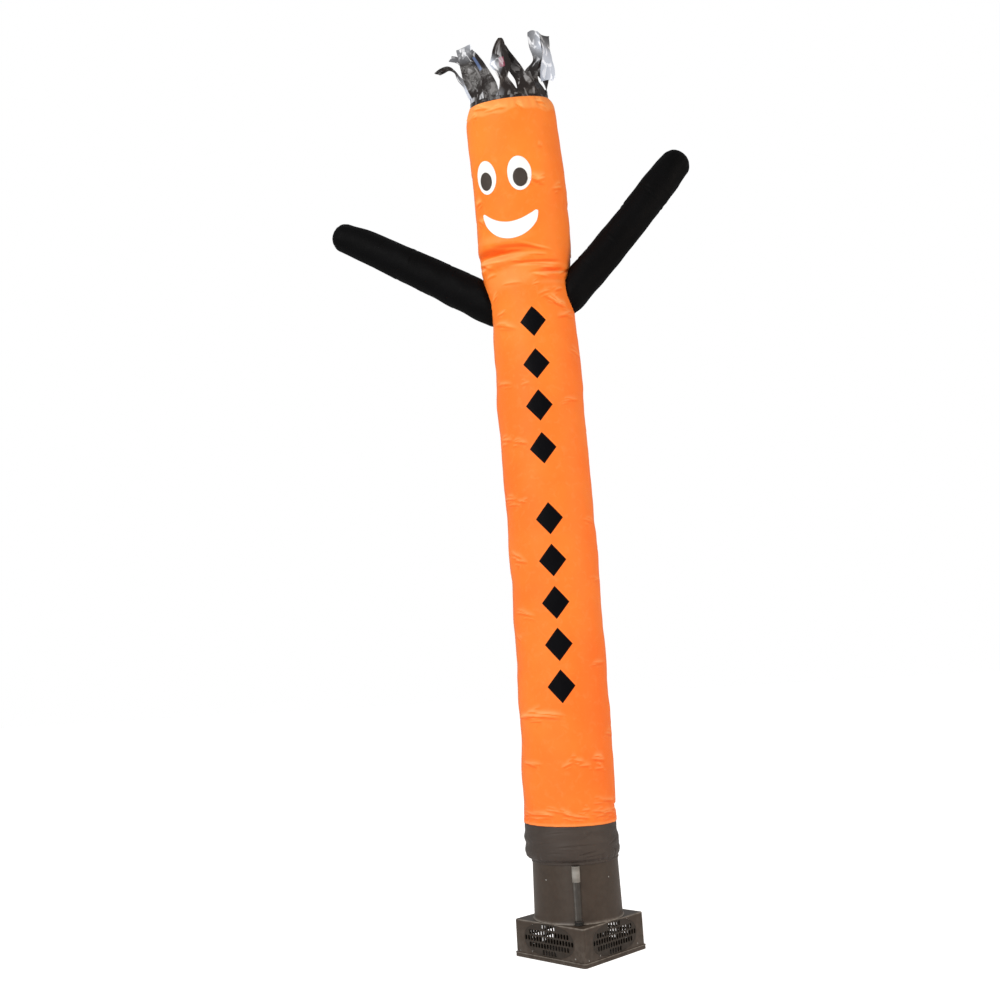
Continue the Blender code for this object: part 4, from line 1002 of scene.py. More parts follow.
CREASES = (
    # height and azimuth of both ends, depth, half width
    (4.6, -64, 4.58, -29, 0.003, 0.011), (4.553, -61, 4.553, -50, 0.0026, 0.01),
    (4.57, -29, 4.57, -7, 0.0026, 0.01), (4.585, 4, 4.55, 14, 0.0028, 0.01),
    (4.59, 32, 4.582, 50, 0.0028, 0.01), (4.586, 96, 4.56, 120, 0.003, 0.011),
    (4.59, 150, 4.566, 172, 0.003, 0.011), (4.58, -150, 4.56, -122, 0.003, 0.011),
    (4.566, -100, 4.58, -84, 0.0026, 0.01), (4.219, 2, 4.177, 30, 0.0042, 0.013),
    (4.192, 17, 4.202, 32, 0.003, 0.01), (4.145, 39, 4.152, 61, 0.0034, 0.011),
    (4.365, 25, 4.362, 34, 0.0024, 0.01), (4.103, -78, 4.127, -57, 0.004, 0.013),
    (4.028, -72, 3.999, -56, 0.004, 0.013), (4.08, 74, 4.06, 100, 0.004, 0.014),
    (4.3, -112, 4.27, -88, 0.0036, 0.013), (3.98, -130, 4.0, -96, 0.0046, 0.015),
    (3.781, -89, 3.779, -31, 0.0028, 0.012), (3.791, -81, 3.739, -45, 0.003, 0.012),
    (3.712, 15, 3.704, 39, 0.0032, 0.011), (3.667, 4, 3.635, 26, 0.0028, 0.012),
    (3.776, -21, 3.762, -5, 0.003, 0.008), (3.812, 2, 3.8, 27, 0.003, 0.009),
    (3.75, -4, 3.735, 34, 0.0026, 0.011), (3.69, 46, 3.712, 82, 0.0034, 0.012),
    (3.8, 70, 3.78, 110, 0.0048, 0.015), (3.87, 96, 3.884, 150, 0.005, 0.016),
    (3.76, 130, 3.748, 178, 0.0048, 0.016), (3.812, -176, 3.8, -128, 0.005, 0.016),
    (3.7, -160, 3.722, -118, 0.0042, 0.014), (3.672, 2, 3.664, 16, 0.0024, 0.008),
    (3.842, -30, 3.85, -6, 0.0026, 0.01), (3.588, 0, 3.598, 12, 0.0024, 0.008),
    (3.521, 5, 3.546, 26, 0.0026, 0.01), (3.455, 39, 3.516, 15, 0.0052, 0.01),
    (3.479, 25, 3.455, 49, 0.0046, 0.01), (3.573, -71, 3.593, -52, 0.003, 0.009),
    (3.455, -41, 3.462, -64, 0.0034, 0.009), (3.412, -72, 3.333, -26, 0.0036, 0.011),
    (3.702, -68, 3.709, -46, 0.003, 0.009), (3.662, 45, 3.702, 66, 0.0046, 0.01),
    (3.42, 60, 3.392, 30, 0.0034, 0.011), (3.64, -40, 3.622, -12, 0.0026, 0.01),
    (3.56, 48, 3.54, 30, 0.0034, 0.01), (3.059, -80, 3.029, -41, 0.0036, 0.009),
    (3.012, -28, 3.017, -14, 0.0026, 0.008), (2.747, -80, 2.72, -47, 0.0038, 0.009),
    (2.713, -48, 2.683, -23, 0.0036, 0.009), (2.715, -78, 2.703, -59, 0.003, 0.008),
    (2.413, -89, 2.393, -48, 0.0038, 0.009), (2.384, -50, 2.364, -32, 0.0034, 0.008),
    (2.376, -78, 2.359, -46, 0.0028, 0.008), (2.109, -76, 2.067, -47, 0.0038, 0.009),
    (2.064, -70, 2.04, -38, 0.0036, 0.009), (1.783, -73, 1.75, -32, 0.0036, 0.009),
    (1.661, -75, 1.622, -60, 0.0034, 0.009), (1.248, -58, 1.253, -38, 0.0032, 0.009),
    (1.228, -79, 1.214, -6, 0.0058, 0.01), (1.201, -54, 1.201, -31, 0.0032, 0.009),
    (0.984, -75, 0.966, -41, 0.0036, 0.01), (0.959, -11, 0.986, 4, 0.0034, 0.009),
    (0.998, 3, 0.986, 18, 0.0034, 0.009), (0.964, 9, 0.966, 27, 0.003, 0.009),
    (0.998, 27, 0.986, 49, 0.0052, 0.01), (0.944, 30, 0.946, 47, 0.0032, 0.009),
    (0.719, -61, 0.719, -21, 0.0034, 0.009), (0.741, -15, 0.719, -2, 0.0034, 0.009),
    (0.719, 40, 0.724, 62, 0.0032, 0.009), (0.714, 0, 0.702, 23, 0.0036, 0.007),
    (0.744, 11, 0.746, 23, 0.0028, 0.007), (0.79, 30, 0.77, 70, 0.003, 0.009),
    (0.706, -84, 0.716, -58, 0.0026, 0.006), (0.728, -76, 0.72, -52, 0.0028, 0.006),
    (0.7, -50, 0.708, -24, 0.0026, 0.006), (0.748, -34, 0.734, -12, 0.003, 0.007),
    (0.726, -14, 0.712, 8, 0.003, 0.006), (0.738, 22, 0.724, 46, 0.003, 0.007),
    (0.704, 26, 0.712, 52, 0.0026, 0.006), (0.736, 54, 0.722, 84, 0.003, 0.007),
    (0.76, 60, 0.752, 88, 0.0026, 0.008), (0.712, 100, 0.724, 136, 0.003, 0.008),
    (0.726, 142, 0.714, 172, 0.003, 0.008), (0.718, -172, 0.728, -138, 0.003, 0.008),
    (2.905, 28, 2.93, 58, 0.0026, 0.009), (2.255, 40, 2.235, 74, 0.0026, 0.009),
    (1.47, 34, 1.49, 70, 0.0028, 0.009), (3.21, 44, 3.19, 80, 0.0028, 0.01),
    (1.92, 52, 1.94, 82, 0.0026, 0.009), (1.12, 52, 1.1, 84, 0.003, 0.01),
    (3.046, 108, 3.03, 150, 0.0032, 0.009), (2.722, -150, 2.74, -104, 0.0034, 0.009),
    (2.396, 112, 2.38, 158, 0.0032, 0.009), (2.372, -132, 2.388, -98, 0.003, 0.009),
    (2.06, -152, 2.082, -102, 0.0034, 0.009), (1.77, 104, 1.756, 148, 0.0032, 0.009),
    (1.232, -156, 1.25, -108, 0.0036, 0.01), (1.216, 120, 1.206, 166, 0.0034, 0.01),
    (0.976, -160, 0.99, -112, 0.0034, 0.01), (3.48, 112, 3.46, 152, 0.0038, 0.011),
    (3.436, -158, 3.462, -110, 0.0038, 0.011), (2.912, 160, 2.904, 196, 0.003, 0.009),
)
LOZENGES = (3.368, 3.123, 2.888, 2.651, 2.265, 2.040, 1.815, 1.595, 1.377)
LOZENGE_AZIMUTH = -4.5
LOZENGE_WIDTH = 0.150
LOZENGE_HEIGHT = 0.176


def buckles(height, azimuth):
    """How far the neck's and the hem's big folds push the cloth out; they are mostly hollows."""
    relief = np.zeros(np.shape(height))
    for at, turn, reach, softness, depth, climb in BUCKLES:
        away = (azimuth - turn + 180) % 360 - 180
        along = np.where(np.abs(away) < reach, np.cos(math.pi / 2 * np.clip(away / reach, -1, 1)) ** 2, 0)
        relief -= depth * along * hump(height - at - climb * away / reach, softness)
    return relief


def seam_puckers(seed):
    """Rows of short drawn creases that run in from the side seams, with quiet cloth between them."""
    random = np.random.default_rng(seed)
    rows = []
    for seam in SEAM_AZIMUTHS:
        at = 0.80
        while at < 4.50:
            side = random.choice((-1, 1))
            away = at + random.uniform(-0.020, 0.022)
            ends = sorted([(seam + side, at), (seam + side * random.uniform(9, 30), away)])
            rows.append((ends[0][1], ends[0][0], ends[1][1], ends[1][0], random.uniform(0.0008, 0.0018),
                         random.uniform(0.008, 0.013)))
            at += random.uniform(0.035, 0.115)
    return rows


def companions(rows, seed):
    """Each crease below the neck and on the head with two slighter ones beside it, as drawn cloth breaks."""
    random = np.random.default_rng(seed)
    more = list(rows)
    for h1, a1, h2, a2, depth, width in rows:
        if 3.61 < (h1 + h2) / 2 < 3.99:
            continue
        for side in (-1, 1):
            rise = side * random.uniform(0.011, 0.024)
            shift = random.uniform(-0.45, 0.45) * (a2 - a1)
            reach = random.uniform(0.35, 0.75)
            middle = ((a1 + a2) / 2 + shift, (h1 + h2) / 2 + (h2 - h1) * shift / (a2 - a1 + 1e-9) + rise)
            half = (reach * (a2 - a1) / 2, reach * (h2 - h1) / 2 + random.uniform(-0.006, 0.006))
            more.append((middle[1] - half[1], middle[0] - half[0], middle[1] + half[1], middle[0] + half[0],
                         depth * random.uniform(0.45, 0.75), width * 0.75))
    return more


PUCKERS = seam_puckers(3)
ALL_CREASES = companions(CREASES, 8)


def crease_relief(height, azimuth):
    """The drawn creases alone, which also give the cloth painted highlights on their ridges and painted shade
    in their hollows.
    """
    return 1.45 * strokes(height, azimuth, ALL_CREASES, TUBE_RADIUS)


def pleats(turns, many, sway, slow, share=0.0, other=0, start=0.0):
    """Small gathers round a sleeve, of two sizes and unevenly spaced."""
    return np.sin(turns * many + sway * np.sin(turns * slow)) + share * np.sin(turns * other + start)


def seam_fold(off, fold, soft, groove):
    """A felled seam: a low fold to one side of it, and a groove where it is sewn."""
    return 0.0010 * hump(off - fold, soft, 4) - 0.0016 * hump(off, groove)


def tube_relief(height, azimuth):
    """All that lifts the tube's cloth off its smooth blown-up shape."""
    a = np.radians(azimuth)
    relief = buckles(height, azimuth) + crease_relief(height, azimuth)
    quiet = ramp(height - HEM, 0.08) * ramp(CROWN - height, 0.05)
    relief += quiet * (strokes(height, azimuth, PUCKERS, TUBE_RADIUS)
                       + rumple(height, azimuth, 21, 0.62, 0.0026)
                       + rumple(height, azimuth, 22, 0.17, 0.0011))
    # the crown's cloth is drawn in to the hair band, and the hem is pulled over the cuff
    gathered = ramp(height - 4.545, 0.035) * np.clip((CROWN + 0.004 - height) / 0.02, 0.25, 1)
    relief += 0.0016 * gathered * pleats(a, 36, 1.1, 5, 0.7, 23, 2.0)
    relief += 0.0013 * ramp(HEM + 0.075 - height, 0.05) * pleats(a, 29, 1.3, 4, 0.8, 17, 0.7)
    # turned hems, a cloth's thickness proud, with their stitched-down edges
    for inside, proud, edge, groove, line in ((height - HEM, 0.0014, 0.026, 0.0012, HEM_STITCH),
                                              (CROWN - height, 0.0012, 0.022, 0.0010, CROWN_STITCH)):
        relief += proud * soft_step(edge - inside, 0.0015) - groove * hump(inside - line, 0.0028)
    for seam in SEAM_AZIMUTHS:
        relief += seam_fold((azimuth - seam) * math.radians(1) * TUBE_RADIUS, 0.006, 0.0052, 0.0026)
    return relief


# rows lie close together where the cloth is creased
crease_spans = [(min(row[0], row[2]) - 0.026, max(row[0], row[2]) + 0.026) for row in CREASES]
tube_heights = [HEM]
while tube_heights[-1] < CROWN:
    at = tube_heights[-1]
    step = CREASE_STEP if any(low < at < high for low, high in crease_spans) else ROW_STEP
    if at < 0.78 or at > 4.54:
        step = END_STEP
    elif 3.40 < at < 4.02:
        step = min(step, NECK_STEP)
    if at < HEM + 0.03 or at > CROWN - 0.03:
        step = HEM_STEP
    tube_heights.append(min(at + step, CROWN))
H, A = lay_grid(tube_heights, TUBE_AROUND)
skin = tube_surface(H, A, tube_relief(H, A))
# both ends are turned in and run a little way down inside
turn_low = tube_surface(*lay_grid([HEM + 0.012, HEM + 0.0016], TUBE_AROUND), -HEM_INSET)
turn_low[1] = skin[0] - (skin[0] - turn_low[1]) * TURNED_SHARE
turn_high = tube_surface(*lay_grid([CROWN - 0.0016, CROWN - 0.012], TUBE_AROUND), -CROWN_INSET)
turn_high[0] = skin[-1] - (skin[-1] - turn_high[0]) * TURNED_SHARE
tube_form = loft(np.concatenate([turn_low, skin, turn_high]))
H_all = np.concatenate([[HEM - 0.012, HEM - 0.002], tube_heights, [CROWN + 0.002, CROWN + 0.012]])
tube_uv = sleeve_uv(*lay_grid(H_all, TUBE_AROUND), TUBE_RADIUS)

# The orange deepens down the tube, and the lozenges are flat black ink with slightly ragged edges
orange_nylon = woven("orange_nylon", (1.0, 0.262, 0.034), (1.0, 0.216, 0.026), (1.0, 0.440, 0.135), 0.42, 0.0,
                     gloss=0.10, hollow=(0.94, 0.60, 0.50))
tree = orange_nylon.node_tree
shader = tree.nodes["Principled BSDF"]
tone, rough = (shader.inputs[name].links[0].from_socket for name in ("Base Color", "Roughness"))
flat = cloth_place(tree)
flat_x, flat_y = part_of(tree, flat, "X"), part_of(tree, flat, "Y")
across = sums(tree, "SUBTRACT", flat_x, math.radians(LOZENGE_AZIMUTH + 180) * TUBE_RADIUS)
across = sums(tree, "DIVIDE", sums(tree, "ABSOLUTE", across), LOZENGE_WIDTH / 2)
aways = [sums(tree, "ABSOLUTE", sums(tree, "SUBTRACT", flat_y, middle)) for middle in LOZENGES]
nearest = aways[0]
for away in aways[1:]:
    nearest = sums(tree, "MINIMUM", nearest, away)
diamond = sums(tree, "ADD", across, sums(tree, "DIVIDE", nearest, LOZENGE_HEIGHT / 2))
ragged = sums(tree, "MULTIPLY_ADD", noise(tree, flat, 260.0, 2.0), 0.02, diamond)
inked = spread(tree, ragged, 1.018, 0.998)
tone = mix(tree, "MULTIPLY", spread(tree, flat_y, 4.1, 2.8, 0.0, 0.9), tone, (1.0, 0.90, 1.0, 1))
feed(tree, shader, Base_Color=mix(tree, "MIX", inked, tone, (0.003, 0.003, 0.004, 1)),
     Roughness=sums(tree, "MULTIPLY_ADD", inked, -0.08, rough),
     Specular_IOR_Level=sums(tree, "MULTIPLY_ADD", inked, -0.07, 0.10))

# painted light and shade: paler where the cloth leans up to the light, deeper where it turns under, and along
# the creases
under = (buckles(H + 0.004, A) - buckles(H - 0.004, A)) / 0.008
# a painted highlight on the cloth below the neck
painted_neck_highlight = 0.30 * hump(H - 3.680, 0.075, 4) * hump(A + 22, 52, 4)
edge = 4.545 + 0.007 * np.sin(np.radians(A) * 5 + 0.6) + 0.005 * np.sin(np.radians(A) * 12 + 1.0)
folds = np.clip(crease_relief(H, A) / 0.0040, -0.7, 1) - np.clip(under / 0.65, -0.75, 1.0)
# a painted highlight band under the crown's edge and a painted highlight line along the hem
folds += painted_neck_highlight + 0.46 * ramp(H - edge, 0.014) + 0.45 * hump(H - HEM - 0.007, 0.008)
tube_mesh = sleeve_mesh("tube", tube_form, orange_nylon, tube_uv, TUBE_RADIUS)
mark(tube_mesh, "fold", np.pad(np.clip(folds, -1, 1), ((2, 2), (0, 0))).ravel())
tube = piece("tube", tube_mesh, "orange_nylon", "body_tube")
tube_skin = BVHTree.FromPolygons([tuple(p) for p in tube_form[0]], tube_form[1])


# ---- Arms --------------------------------------------------------------------------------------
# Two closed sleeves of black nylon, sewn into holes in the tube's sides and blown up through them. Each is
# cut from one cloth with a seam along its underside, and drawn to a blunt round end.

ARM_AROUND = 88
ARM_ROWS = 170
ARM_RADIUS = 0.10
ARMS = {
    # side and turn, then sections of distance out from the shoulder's middle, height and radius
    "left": (-1, 12, ((0.10, 3.490, 0.116), (0.28, 3.603, 0.114), (0.55, 3.775, 0.107), (0.82, 3.942, 0.100),
                      (1.04, 4.074, 0.092), (1.10, 4.105, 0.086), (1.164, 4.137, 0.080))),
    "right": (1, 12, ((0.055, 3.424, 0.115), (0.20, 3.556, 0.106), (0.436, 3.784, 0.099),
                      (0.65, 4.012, 0.096), (0.83, 4.213, 0.093), (0.876, 4.262, 0.086),
                      (0.920, 4.308, 0.080))),
}
ARM_DOME = 0.078
ARM_TIP = 0.017  # how far the round end stands past the last section
ARM_SEAM = 270
ARM_DRAWN = 0.012  # how far the root is drawn in at its seam
ARM_OUTSIDE = 0.50  # distances along the arm that lie well outside and inside the tube's cloth
ARM_INSIDE = 0.10
SHOULDER = 3.57

black_nylon = woven("black_nylon", (0.0022, 0.0022, 0.0026), (0.0012, 0.0012, 0.0014),
                    (0.0070, 0.0070, 0.0080), 0.60, 0.0, crumples=1.3, gloss=0.06)


def travelled(points):
    """The distance gone at each point of a way."""
    return np.concatenate([[0], np.cumsum(np.linalg.norm(np.diff(points, axis=0), axis=1))])


def arm_shape(side, turn, sections):
    """An arm's middle and radius by the distance along it, and the level way across it."""
    lean = math.radians(turn)
    shoulder = tube_axes(np.array(SHOULDER))[0]
    ahead, aside = math.sin(lean), math.cos(lean)
    middles = np.array([(shoulder[0] + side * out * aside, shoulder[1] - side * out * ahead, z)
                        for out, z, _ in sections])
    shape = np.column_stack([travelled(middles), middles, [r for _, _, r in sections]])
    return shape, np.array([ahead, aside, 0])


def arm_skin(shape, across, far, turns, relief=0.0):
    """Points of a sleeve at distances along it and turns round it, with its tip closed by a round end."""
    end = shape[-1, 0]
    near = np.minimum(far, end - 0.01)
    way = between(shape, near + 0.01)[..., 1:4] - between(shape, near - 0.01)[..., 1:4]
    way /= np.linalg.norm(way, axis=-1, keepdims=True)
    over = np.cross(way, across)
    over /= np.linalg.norm(over, axis=-1, keepdims=True)
    start = end + ARM_TIP - ARM_DOME
    dome = np.sqrt(np.clip(1 - (np.clip(far - start, 0, None) / ARM_DOME) ** 2, 0, 1))
    radius = ((between(shape, np.minimum(far, start))[..., 4] + relief) * dome)[..., None]
    middle = between(shape, np.minimum(far, end))[..., 1:4] + way * np.clip(far - end, 0, None)[..., None]
    return middle + radius * (np.cos(turns)[..., None] * across + np.sin(turns)[..., None] * over)


def with_thickness(mesh, thick):
    """The same sheet with its cloth's thickness added on the inner side."""
    sheet = put("thickened", mesh)
    solid = sheet.modifiers.new("cloth", "SOLIDIFY")
    solid.thickness = thick
    solid.offset = -1
    finished = made_plain(sheet)
    bpy.data.objects.remove(sheet)
    return finished


arm_rims = []
turns = 2 * math.pi * np.arange(ARM_AROUND) / ARM_AROUND
for name, (side, turn, sections) in ARMS.items():
    shape, across = arm_shape(side, turn, sections)
    starts, ends = (arm_skin(shape, across, np.full(ARM_AROUND, far), turns, -ARM_DRAWN)
                    for far in (ARM_OUTSIDE, ARM_INSIDE))
    # where each thread of the sleeve meets the tube's cloth
    hits = [tube_skin.ray_cast(Vector(a), Vector(b - a).normalized()) for a, b in zip(starts, ends)]
    arm_rims.append(([tuple(place) for place, _, _, _ in hits], [tuple(way) for _, way, _, _ in hits]))
    gone = np.array([distance for _, _, _, distance in hits]) / np.linalg.norm(ends - starts, axis=1)
    roots = ARM_OUTSIDE - (ARM_OUTSIDE - ARM_INSIDE) * gone
    roots = sum(np.roll(roots, k) * w for k, w in ((-2, 0.1), (-1, 0.2), (0, 0.4), (1, 0.2), (2, 0.1)))
    tip = shape[-1, 0] + ARM_TIP
    fraction = (np.arange(ARM_ROWS) / (ARM_ROWS - 1))[:, None]
    far = roots - 0.007 + (tip - 0.0002 - roots + 0.007) * (1 - (1 - fraction) ** 1.15)
    turning = np.tile(turns, (len(far), 1))
    degrees = np.degrees(turning)
    past_root = np.clip(far - roots, 0, None)
    # gathers at the sewn root, drawn creases, a slow unevenness, gathers at the tip and the seam
    relief = 0.0022 * np.exp(-past_root / 0.035) * pleats(turning, 17, 1.2, 3, 0.7, 26, 1.0)
    relief -= ARM_DRAWN * hump(past_root, 0.020, 1.5)
    random = np.random.default_rng(40 + side)
    creases = []
    for _ in range(26):
        aside, at = random.uniform(-170, 170), random.uniform(0.28, tip - 0.10)
        creases.append((at, aside, at + random.uniform(-0.03, 0.03), aside + random.uniform(35, 85),
                        random.uniform(0.0014, 0.0034), random.uniform(0.009, 0.015)))
    relief += strokes(far, degrees, creases, ARM_RADIUS) + strokes(far, degrees - 360, creases, ARM_RADIUS)
    relief += rumple(far, degrees, 50 + side, 0.30, 0.0022)
    relief += 0.0020 * ramp(far - tip + 0.10, 0.06) * pleats(turning, 14, 0.8, 3)
    relief += seam_fold(np.radians(degrees - ARM_SEAM) * ARM_RADIUS, 0.005, 0.0048, 0.0024)
    form = loft(arm_skin(shape, across, far, turning, relief), end_cap=True)
    uv = np.stack([turning * ARM_RADIUS, far], -1).reshape(-1, 2)
    mesh = with_thickness(sleeve_mesh(f"arm_{name}", form, black_nylon, uv, ARM_RADIUS), CLOTH)
    sleeve = piece(f"arm_{name}_sleeve", mesh, "black_nylon", f"arm_{name}")


# ---- Eyes and smile ----------------------------------------------------------------------------
# Cut-outs of white nylon, and dark ones for the pupils, laid flat on the blown-up head and sewn down round
# their edges. They follow the head's curve, and their cut edges are turned under.

PATCH = 0.0010
PATCH_EDGE = 0.945  # the ring that is sewn down, as a share of the outline
FACE_OFF = 0.6  # how far ahead of the head its pattern is held
FACE_TURN = 25
FACE_HEIGHT = 4.240
EYES = {
    # across, up, half width, half height; then the pupil's own
    "left": ((-0.103, 0.002, 0.063, 0.090), (-0.106, -0.018, 0.038, 0.049)),
    "right": ((0.087, -0.002, 0.061, 0.091), (0.090, -0.024, 0.037, 0.050)),
}
SMILE_HALF_WIDTH = 0.156
SMILE_TIPS = -0.190
SMILE_UPPER_DIP = 0.062
SMILE_LOWER_DIP = 0.123
SMILE_BLUNT = 0.030
SMILE_ROUND = 0.09
SMILE_TILT = -0.053
SMILE_STEPS = 72

white_nylon = woven("white_nylon", (0.93, 0.93, 0.925), (0.88, 0.88, 0.87), (0.96, 0.96, 0.96), 0.55, 0.15,
                    crumples=0.7)

face_middle, side_way, back_way, face_up = tube_axes(np.array(FACE_HEIGHT))
turn = math.radians(FACE_TURN)
face_out = -back_way * math.cos(turn) - side_way * math.sin(turn)
face_out /= np.linalg.norm(face_out)
face_across = np.cross(face_up, face_out)


def on_head(pattern, lift):
    """Points laid on the head from the face's flat pattern, lifted off its cloth; and which way is out."""
    places, ways = [], []
    for x, y in pattern:
        start = face_middle + face_across * x + face_up * y + face_out * FACE_OFF
        place, way, _, _ = tube_skin.ray_cast(Vector(start), Vector(-face_out))
        places.append(tuple(place + way * lift))
        ways.append(tuple(way))
    return np.array(places), ways


def patch(name, finish, slot, node, outline, centre, layer=0, rings=12):
    """A cut-out from rings that shrink from its outline to a point or a middle line, with its edge turned
    under; and the line it is sewn down by."""
    outline, centre = np.array(outline), np.array(centre)
    count = len(outline)
    proud = 0.0016 + layer * (PATCH + 0.0008)
    # a ring on the cloth under the edge, the turned edge, and the flat of the patch
    under, turned_edge = (proud - 0.0014, proud - 0.0007) if layer else (0.0002, proud * 0.55)
    scales = [(1.0, under), (1.004, turned_edge), (0.998, proud), (0.975, proud + 0.0004),
              (PATCH_EDGE, proud - 0.0001), *((0.92 * (1 - i / rings), proud) for i in range(rings))]
    flat_rows = [centre + (outline - centre) * scale for scale, _ in scales]
    laid = [on_head(flat_row, lift) for flat_row, (_, lift) in zip(flat_rows, scales)]
    points, faces = loft([places for places, _ in laid])
    last = len(points) - count
    if centre.ndim == 1:
        points = np.vstack([points, on_head([centre], proud)[0]])
        flat_rows.append(centre[None])
        faces += [(last + i, last + (i + 1) % count, last + count) for i in range(count)]
    else:
        faces += [(last + i, last + i + 1, last + count - 2 - i, last + count - 1 - i)
                  for i in range(count // 2 - 1)]
    made = piece(name, mesh_of(name, (points, faces), finish, smooth=180, uv=np.concatenate(flat_rows)), slot,
                 node)
    return (*laid[[scale for scale, _ in scales].index(PATCH_EDGE)], True)


def patch_oval(name, finish, slot, node, shape, count, **more):
    """An oval cut-out."""
    x, y, half_width, half_height = shape
    outline = [(x + a, y + b) for a, b in oval(half_width, half_height, count)]
    return patch(name, finish, slot, node, outline, (x, y), **more)


white_edges, dark_edges = [], []
for side, (white, pupil) in EYES.items():
    white_edges.append(patch_oval(f"eye_{side}", white_nylon, "white_nylon", f"eye_white_{side}", white, 84))
    dark_edges.append(patch_oval(f"pupil_{side}", dark_nylon, "dark_nylon", f"eye_pupil_{side}", pupil, 64,
                                 layer=1, rings=9))

t = -np.cos(np.pi * np.arange(SMILE_STEPS) / (SMILE_STEPS - 1))
corners = SMILE_TIPS + SMILE_TILT * SMILE_HALF_WIDTH * t
top = corners - SMILE_UPPER_DIP * (1 - t**2)
bottom = corners - SMILE_BLUNT - SMILE_LOWER_DIP * (1 - t**2) ** 0.60
# the tips are cut round
rounded = np.sqrt(1 - ramp(np.abs(t) - 1 + SMILE_ROUND, SMILE_ROUND) ** 2)
spine = np.stack([SMILE_HALF_WIDTH * t, (top + bottom) / 2], -1)
half = np.stack([np.zeros(SMILE_STEPS), np.maximum((top - bottom) / 2 * rounded, 0.0004)], -1)
grin = np.concatenate([spine - half, (spine + half)[::-1]])
spine[:, 0] *= 0.985
white_edges.append(patch("grin", white_nylon, "white_nylon", "smile", grin,
                         np.concatenate([spine, spine[::-1]]), rings=6))


# ---- Hair --------------------------------------------------------------------------------------
# A dark band sewn inside the crown's edge, with streamers cut from thin printed film fused to it. Each film
# strip is dark on one side and silvery on the other, creased from folding, and blows about as air escapes.

BAND_TOP = 4.672
BAND_INSET = 0.0026
BAND_AROUND = 216
BAND_RADIUS = 0.22
STREAMER = 0.0012
ROOT_DEPTH = 0.012
ROOT_RISE = 0.016
STREAMER_ROWS = 56
STREAMER_COLUMNS = 9
